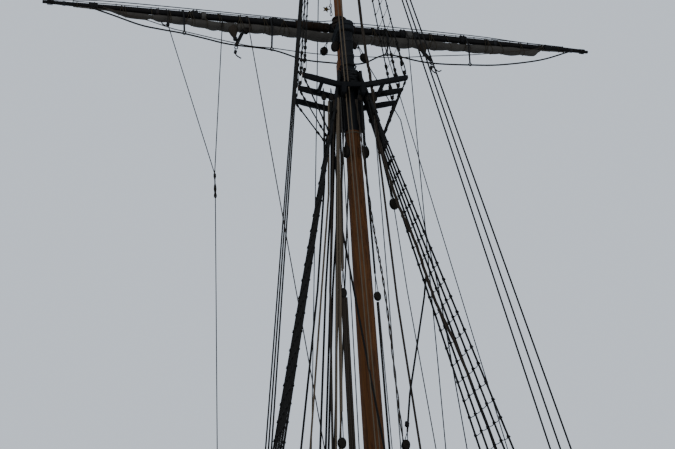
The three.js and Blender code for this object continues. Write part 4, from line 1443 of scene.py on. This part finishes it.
def make_yard_blocks():
    """Quarter blocks, bunt block and chains under the lower topsail yard, and the star beside the topmast"""
    body = LOWER["body"]
    make_blocks("lower_topsail_blocks", [
        ((-0.3, 0.98, 15.1), (-0.19, 1.1, 15.4), 1.42),
        ((0.6, 1.0, 14.97), (0.51, 1.14, 15.38), 1.45),
        ((-2.04, 0.9, 15.53), on_yard(LOWER, -2.02, -0.02, -0.1), 1.35),
    ], body)
    make_chains("lower_topsail_chains", [
        ((0.52, 1.19, 15.5), (0.5, 1.1, 15.24)), ((-0.19, 1.12, 15.5), (-0.2, 1.08, 15.34)),
    ], 0.055, body)
    hook = (-0.13, 0.75, 16.17)
    make_chains("tye_hook_chain", [(hook, (-0.13, 0.75, 15.86))], 0.075, "mast")
    star = start(bpy.ops.mesh.primitive_circle_add, vertices=10, radius=0.09, fill_type="NGON")
    for i, vertex in enumerate(star.data.vertices):
        a, r = math.tau * i / 10, 0.04 if i % 2 else 0.09
        vertex.co = (r * math.cos(a), r * math.sin(a), 0)
    use_modifier(star, "SOLIDIFY", thickness=0.016, offset=0)
    placed(star, Matrix.Translation((-0.235, 0.75, 16.03)) @ Matrix.Rotation(math.pi / 2, 4, "X"))
    done(bevelled(star, 0.003), "brass_star", BRASS)
    rope("star_pendant", [
        [hook, (-0.165, 0.72, 19.0), (-0.15, 0.66, 21.4), (-0.09, 0.6, 21.75)],
        [(-0.13, 0.75, 16.12), (-0.18, 0.75, 16.09)],
    ], 0.009, HEMP)


# running rigging
def make_running_blocks():
    """Blocks under the crosstrees, beside the masthead and partway down the running rigging"""
    spots = [((x, LEAD_Y, 13.34), (x, LEAD_Y, 13.55), 0.85) for x in (-0.62, -0.46, -0.33, 0.14, 0.32, 0.46)]
    spots += [
        ((-0.235, 0.05, 14.72), (-0.16, 0.04, 15.02), 1.45), ((0.22, 0.22, 14.85), (0.16, 0.16, 15.02), 1.0),
        ((0.69, LEAD_Y, 10.97), (0.62, LEAD_Y, 11.4), 1.45), ((0.14, -0.6, 8.92), (0.135, -0.55, 9.4), 1.15),
        ((-0.54, -0.6, 8.99), (-0.5, -0.56, 9.5), 1.25), ((-0.81, -0.95, 6.0), (-0.76, -0.88, 6.6), 1.3),
        ((0.40, -0.9, 5.94), (0.46, -0.85, 6.2), 1.3),
    ]
    make_blocks("running_blocks", spots)


def make_running_rigging():
    """Halyards and other lines close to the mast, from the pins of the rails to blocks and hounds aloft"""
    top, deck, lead, aft, pin = 13.35, 0.07, LEAD_Y, RAIL_Y, PIN_Z
    black = [
        [(-2.45, -0.9, deck), (-1.52, -0.62, 5.98), (-1.01, -0.45, 9.1), (-0.72, -0.32, 11.41),
            (-0.62, lead, 13.25)],
        [(-1.82, -0.86, deck), (-1.16, -0.6, 5.97), (-0.85, -0.45, 9.1), (-0.61, -0.33, 11.03),
            (-0.46, lead, 13.25)],
        [(-RAIL_X, -0.81, pin), (-1.0, -0.6, 5.97), (-0.71, -0.45, 9.1), (-0.54, -0.37, 10.44),
            (-0.33, lead, 13.25)],
        [(-RAIL_X, -0.47, pin), (-0.36, lead, top)],
        [(-1.275, aft, pin), (-0.34, -0.32, top)],
        [(0.085, aft, pin), (0.12, -0.75, 5.91), (0.13, -0.6, 8.8)],
        [(0.135, -0.55, 9.4), (0.16, lead, 12.14), (0.18, lead, 13.25)],
        [(0.69, lead, 11.05), (0.62, lead, 11.4), (0.32, lead, 13.3)],
        [(0.595, aft, pin), (0.38, -0.92, 5.86)],
        [(0.46, -0.85, 6.2), (0.6, -0.72, 6.95), (1.13, -0.4, 8.96), (1.28, -0.13, 9.5)],
        wrapping((0.475, -0.84, 6.38), (0.46, -0.85, 6.3), 0.026, 0.03),
        [(0.425, aft, pin), (0.0, -0.86, 5.89), (-0.45, -0.4, 10.51), (-0.5, lead, 13.3)],
    ]
    brown = [
        [(0.935, aft, pin), (0.71, -0.75, 5.89), (0.54, -0.55, 8.86), (0.45, lead, 12.39),
            (0.45, lead, 13.25)],
        [(-1.105, aft, pin), (-0.96, -0.78, 5.94), (-0.78, -0.55, 9.07), (-0.6, -0.4, 11.01),
            (-0.4, lead, 13.3)],
        [(-0.765, aft, pin), (-0.55, -0.6, 8.9)],
        [(-0.5, -0.56, 9.5), (-0.34, -0.33, 12.0), (-0.3, lead, 13.3)],
    ]
    brown += [[(-0.755 + 0.042 * k, aft - 0.01 * k, 1.22), (-0.565 + 0.044 * k, -0.6, 8.9)] for k in range(3)]
    tan = [
        [(-2.14, -0.9, deck), (-1.35, -0.62, 5.97), (-0.93, -0.45, 9.1), (-0.65, -0.33, 11.16),
            (-0.52, lead, 13.25)],
        [(-1.105, aft, pin), (-0.355, -0.33, top)],
        [(-0.935, aft, pin), (-0.83, -0.97, 5.9)], [(-0.76, -0.88, 6.6), (-0.31, lead, top)],
        [(-1.275, aft, 1.15), (-0.33, -0.36, 13.3)], [(-0.52, -0.58, 9.45), (-0.34, -0.31, 13.3)],
    ]
    thin = [
        [(RAIL_X, lead, pin), (1.13, lead, 5.96), (0.82, lead, 9.14), (0.69, lead, 10.88)],
        [(-0.595, aft, pin), (-0.27, lead, top)], [(0.255, aft, 1.25), (0.42, lead, top)],
        [(0.255, aft, pin), (0.17, -0.75, 5.91), (0.15, -0.62, 8.8)],
    ]
    front = [
        [(-0.085 + x, aft, pin), (-0.07 + x, lead, top), (-0.10 + x, -0.25, 15.3), (-0.06, 0.43, 21.7)]
        for x in (0, -0.075)
    ]
    twisted = [(0.6, aft, pin), (0.4, -0.75, 5.9), (0.31, -0.55, 8.96), (0.19, -0.4, 10.67),
        (0.06, -0.31, 13.3)]
    bundle = [
        (3.02, -1.3, 2.0), (1.736, -0.95, 7.14), (1.247, -0.75, 8.79), (0.995, -0.6, 10.02),
        (0.711, -0.5, 10.96),
        (0.46, -0.36, 12.41), (0.44, -0.33, 13.1), (0.4, lead, 13.86), (0.308, lead, 15.07),
        (0.15, 0.44, 21.7),
    ]
    for name, runs, radius, finish in (
        ("halyards_black", black, 0.021, TARRED), ("halyards_brown", brown, 0.023, DARK_HEMP),
        ("halyards_tan", tan, 0.02, HEMP), ("halyards_thin", thin, 0.011, GREY_HEMP),
        ("masthead_lines", front, 0.0125, HEMP),
        ("halyards_twisted", strands(twisted, 0.015, 14), 0.012, DARK_HEMP),
        ("peak_halyard_bundle", strands(bundle, 0.019, 11, 3), 0.016, DARK_HEMP),
    ):
        rope(name, runs, radius, finish)
    eyes = []
    for x, y in ((-2.45, -0.9), (-2.14, -0.9), (-1.82, -0.86), (-3.0, 1.5), (1.98, RAIL_Y)):
        eyes += [around((x, y, 0.045), X, Z, 0.035, 0, 1, 16), around((x, y, 0.006), X, Y, 0.04, 0, 1, 20)]
    rope("deck_eyebolts", eyes, 0.009, IRON)
    fore, back = [shroud_at(i, 1, SHEER_POLE_Z) + X * 0.04 for i in (0, 4)]
    hitches = []
    for y, r in ((-1.3, 0.05), (-1.4, 0.034)):
        spot = fore.lerp(back, (y - fore.y) / (back.y - fore.y))
        hitches.append(wrapping(spot - Y * 0.05, spot + Y * 0.05, r, 0.021))
    rope("sheer_pole_hitches", hitches, 0.011, DARK_HEMP)


def make_yard_lines():
    """Clewlines, buntlines and leech line that come down to the deck from the lower topsail yard"""
    knot, deck = Vector((-2.83, 0.74, 11.9)), Vector((-3.0, 1.5, 0.07))
    port_pin, starboard_pin = Vector((-0.595, RAIL_Y, PIN_Z)), Vector((1.105, RAIL_Y, PIN_Z))

    def led(x, z, *rest):
        """A line from the yard's after side down behind the roll, and on from there"""
        r = yard_radius(LOWER, x) + 0.012
        start_at, clear = on_yard(LOWER, x, -r, 0.02), on_yard(LOWER, x, -r - 0.07, -0.12)
        return [start_at, clear, on_yard(LOWER, x, -0.14, z), *rest]

    def leads(x, z, foot):
        return [led(x, z, foot)], foot, on_yard(LOWER, x, -0.14, z)

    hitch, block = on_yard(LOWER, -3.76, -0.15, -0.37), Vector((0.62, 0.98, 14.9))
    clew_foot = Vector((1.98, RAIL_Y, 0.07))
    above = knot + Z * 0.12
    leech = [led(-2.57, -0.3, above), led(-3.76, -0.3, hitch, above), [knot - Z * 0.4, deck]]
    clew = [[block, Vector((1.19, 0.5, 13.23)), Vector((1.47, LEAD_Y, 9.14)), clew_foot]]
    for name, (runs, foot, head), radius, finish in (
        ("leech_line", (leech, deck, hitch), 0.0105, TARRED),
        ("bunt_line", leads(-1.96, -0.35, port_pin), 0.0115, DARK_HEMP),
        ("starboard_buntline", leads(1.75, -0.35, starboard_pin), 0.0115, TARRED),
        ("clewline", (clew, clew_foot, block), 0.0115, TARRED),
        ("starboard_leech_line", leads(1.15, -0.3, Vector((2.96, -1.4, 1.97))), 0.0115, TARRED),
    ):
        piece = rope(f"lower_topsail_{name}", runs, radius, finish, None)
        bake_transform(piece)
    toggle = smooth(turned([
        (-0.42, 0.012), (-0.4, 0.03), (-0.36, 0.034), (-0.3, 0.02), (-0.22, 0.032), (-0.15, 0.026),
        (-0.1, 0.014),
        (0, 0.014), (0.06, 0.03), (0.12, 0.026), (0.14, 0.012),
    ], 14, tuple(knot)))
    done(toggle, "leech_line_blocks", BLOCK_WOOD, body=None)
    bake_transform(toggle)
    hook = around(on_yard(LOWER, -3.82, -0.15, -0.31), X, Z, 0.075, 0.45, 0.95, 12)
    lump = wrapping(hitch + Z * 0.04, hitch - Z * 0.03, 0.026, 0.02)
    rope("leech_line_hitch", [hook, lump], 0.014, SERVED, LOWER["body"])


# deck fittings
def pins(stations, spots):
    """A turned belaying pin copied to every spot"""
    return copies(smooth(turned(stations, 14)), [Matrix.Translation(spot) for spot in spots])


def nut(z0, z1, r, x, y):
    return bevelled(turned([(z0, r), (z1, r)], 6, (x, y, 0)), 0.002)


def make_mast_shoe():
    base = plank((-0.45, -0.45, 0), (0.45, 0.45, 0.03), 0.008)
    parts = [base, hoop(0.0301, 0.28, 0.2162, 0.262, 64, lip=0.006)]
    for i in range(4):
        web = box((0.172, 0.018, 0.21), (0.344, 0, 0.135))
        for point in web.data.vertices:
            if point.co.z > 0.1 and point.co.x > 0.3:
                point.co.x = 0.272
        web = bevelled(web, 0.004)
        web.rotation_euler = (0, 0, i * math.pi / 2)
        parts.append(placed(web))
    bolts = [(x, y) for x in (-0.37, 0.37) for y in (-0.37, 0.37)]
    bolts += [(x, y) for x in (-0.37, 0.37) for y in (-0.16, 0.16)]
    for x, y in bolts:
        parts.append(smooth(turned([(0.03, 0.034), (0.036, 0.034), (0.038, 0.03)], 20, (x, y, 0))))
        parts.append(nut(0.038, 0.056, 0.024, x, y))
        parts.append(smooth(turned([(0.056, 0.012), (0.068, 0.012), (0.07, 0.009)], 14, (x, y, 0))))
    done(parts, "mast_shoe_iron", IRON, ["mast_shoe"])


def make_spider_band():
    band = hoop(1.15, 1.21, 0.2184, 0.299, 72, lip=0.007)
    angles = [math.tau * (i + 0.5) / 12 for i in range(12)]
    row = pins([
        (0.981, 0.007), (0.986, 0.0115), (1.205, 0.0118), (1.212, 0.017), (1.222, 0.017), (1.232, 0.0105),
        (1.27, 0.0142), (1.325, 0.0138), (1.338, 0.008),
    ], [(0.274 * math.cos(a), 0.274 * math.sin(a), 0) for a in angles])
    parts = [band, row]
    for side in (-1, 1):
        parts.append(plank((-0.012, side * 0.292, 1.152), (0.012, side * 0.33, 1.208), 0.004))
        bolt = [(-0.03, 0.007), (-0.028, 0.012), (0.028, 0.012), (0.03, 0.007)]
        parts.append(smooth(turned_along(X, bolt, 12, (0, side * 0.314, 1.18))))
    done(parts, "spider_band_iron", IRON, ["spider_band"])


def make_fife_rails():
    """Three bevelled rails on chamfered posts, full of turned pins"""
    low, high, half = 1.01, 1.08, 0.09
    profile = [
        (0.812, 0.006), (0.818, 0.0105), (1.0, 0.0118), (1.078, 0.0125), (1.083, 0.0172), (1.094, 0.0175),
        (1.108, 0.012), (1.15, 0.0152), (1.2, 0.0158), (1.228, 0.0135), (1.239, 0.007),
    ]
    reach = RAIL_X - half - 0.0003
    timber = plank((-reach, RAIL_Y - half, low), (reach, RAIL_Y + half, high), 0.014)
    row = pins(profile, [(x, RAIL_Y, 0) for x in AFT_PINS])
    done([timber, row], "fife_rail_timber_aft", RAIL_PINE, ["fife_rail_aft"])
    for name, side in SIDES.items():
        x = side * RAIL_X
        timber = plank((x - half, -1.24, low), (x + half, 0.25, high), 0.014)
        row = pins(profile, [(x, y, 0) for y in SIDE_PINS])
        done([timber, row], f"fife_rail_timber_{name}", RAIL_PINE, [f"fife_rail_side_{name}"])
        for at, post_x, y in (("inner", 0.48, RAIL_Y), ("aft", RAIL_X, RAIL_Y), ("fore", RAIL_X, 0.14)):
            post = box((0.11, 0.11, 0.14), (side * post_x, y, 0.07))
            for rise, wide in ((0.02, 0.86), (0.7, 1), (0.02, 1 / 0.86), (0.1297, 1)):
                choose(post, lambda normal: normal.z > 0.9)
                extrude((0, 0, rise))
                bpy.ops.transform.resize(value=(wide, wide, 1))
            node = f"fife_post_{at}_{name}"
            done(bevelled(post, 0.008), f"fife_post_timber_{at}_{name}", RAIL_PINE, [node])


def coil(pin, out, seed, wide, drop, turns=6):
    """A rope's end coiled up and hung on its pin, on the side of the rail that out points to"""
    across = out.cross(Z)
    path = []
    for k in [i / 16 for i in range(turns * 16 + 1)]:
        a = math.tau * k
        w = wide * (1 + 0.16 * math.sin(1.7 * k + seed))
        h = drop * (1 + 0.1 * math.sin(2.3 * k + 2 * seed))
        down = (1 - math.cos(a)) / 2
        spot = out * (0.028 + 0.1 * min(1, 1.6 * down) + 0.008 * k) + Z * (0.03 + 0.006 * k - 2 * h * down)
        path.append(Vector(pin) + spot + across * w * math.sin(a) * (0.5 + 0.5 * down))
    return path


def make_coils():
    """The coiled ends of the running rigging on the rails' pins, with their turns round the pins"""
    coils, turns = {"tan": [], "black": []}, {"tan": [], "black": []}
    spots = [(x, RAIL_Y, -Y) for x in AFT_PINS]
    spots += [(side * RAIL_X, y, X * side) for y in SIDE_PINS[1:] for side in (-1, 1)]
    for k, (x, y, out) in enumerate(spots):
        shade = "black" if k % 3 == 1 else "tan"
        coils[shade].append(coil((x, y, 1.1), out, 1.7 * k, 0.07, 0.2 + 0.03 * math.sin(k)))
        turns[shade] += [wrapping((x, y, z - 0.03), (x, y, z + 0.03), 0.025, 0.021) for z in (0.985, 1.105)]
    for kind, found in (("coils", coils), ("pin_turns", turns)):
        rope(f"{kind}_tan", found["tan"], 0.0105, HEMP)
        rope(f"{kind}_black", found["black"], 0.0105, TARRED)


def make_deck_plates():
    for name, stay in STAYS.items():
        unit, eye_at = stay_line(stay)
        y = stay["foot"]
        parts = [plank((-0.13, y - 0.2, 0), (0.13, y + 0.2, 0.024), 0.006)]
        parts.append(bevelled(plank((-0.024, y - 0.075, 0.018), (0.024, y + 0.075, 0.075), 0.004), 0.006))
        parts.append(torus(0.058, 0.021, (32, 12), axes_place(eye_at, unit, X)))
        parts += [nut(0.024, 0.04, 0.022, x, y + dy) for x in (-0.09, 0.09) for dy in (-0.155, 0.155)]
        done(parts, f"{name}_plate_iron", IRON, [f"{name}_deck_plate"])


def lug_ring(spec, low, high):
    """The eye that a yard's pin stands in, with the arm that carries it"""
    y, z = spec["y"], spec["z"]
    return [hoop(z - 0.04, z + 0.04, 0.0272, 0.06, 36, (0, y)), plank(low, high, 0.008)]


def make_truss_crane():
    z, base = LOWER["z"], CAP["z"]
    parts = lug_ring(LOWER, (-0.045, 0.79, z - 0.038), (0.045, 0.872, z + 0.038))
    parts.append(plank((-0.08, 0.752, base + 0.04), (0.08, 0.792, base + 0.2), 0.008))
    low, high = base + 0.09, z + 0.04
    parts.append(bevelled(box((0.078, 0.06, high - low), (0, 0.801, (low + high) / 2)), 0.014, 3))
    for x in (-0.055, 0.055):
        for dz in (0.07, 0.17):
            bolt = turned_along(Y, [(0, 0.014), (0.011, 0.014)], 6, (x, 0.79, base + dz))
            parts.append(bevelled(bolt, 0.0015))
    done(parts, "truss_crane_iron", IRON, ["truss_crane"])


def make_parrel():
    spec = YARDS["upper_topsail"]
    z, at = spec["z"], (0, TOPMAST_Y)
    leather = hoop(z - 0.06, z + 0.06, 0.0955, 0.126, 48, at, 0.008)
    parts = [hoop(z + dz - 0.014, z + dz + 0.014, 0.124, 0.132, 48, at, 0.002) for dz in (-0.036, 0.036)]
    parts += lug_ring(spec, (-0.04, 0.672, z - 0.037), (0.04, 0.737, z + 0.037))
    done(leather, "parrel_leather", LEATHER, body="parrel_body")
    done(parts, "parrel_iron", IRON, ["parrel"], "parrel_body")


def make_leading_blocks():
    """Leading blocks on pendants below the crosstrees, abreast of the mast"""
    stretch = 1.65
    for name, side in SIDES.items():
        centre, hang = Vector((side * 0.2, -0.235, 12.14)), Vector((side * 0.214, -0.235, 13.39))
        place = block_place(centre, hang, 1.28, (side * 0.56, -0.83, 0))
        block = copies(block_master(stretch), [place])
        done(block, f"leading_block_{name}", BLOCK_WOOD, [f"hanging_block_{name}"])
        runs = [strop(place, centre.lerp(hang, 0.2), stretch), [centre.lerp(hang, 0.18), hang]]
        rope(f"leading_block_strop_{name}", runs, 0.014, SERVED)


def build():
    stand_camera()
    light_studio()
    make_lower_mast()
    make_topmast()
    make_cap()
    make_hounds()
    for name, side in SIDES.items():
        for make in (
            make_lower_rigging, make_sheer_pole, make_ratlines, make_channel, make_futtocks,
            make_topmast_rigging,
        ):
            make(name, side)
    for name, side in SIDES.items():
        make_shroud_eyes(name, side)
    make_masthead()
    make_stays()
    for make in (
        make_mast_shoe, make_spider_band, make_fife_rails, make_coils, make_deck_plates, make_truss_crane,
        make_parrel, make_leading_blocks,
    ):
        make()
    for spec in YARDS.values():
        for make in (make_yard, make_yoke, make_jackstay, make_sail, make_gaskets, make_footropes):
            make(spec)
    for make in (
        make_cap_collar, make_yard_dressing, make_clews, make_yard_blocks, make_running_blocks,
        make_running_rigging, make_yard_lines, make_floor,
    ):
        make()


build()
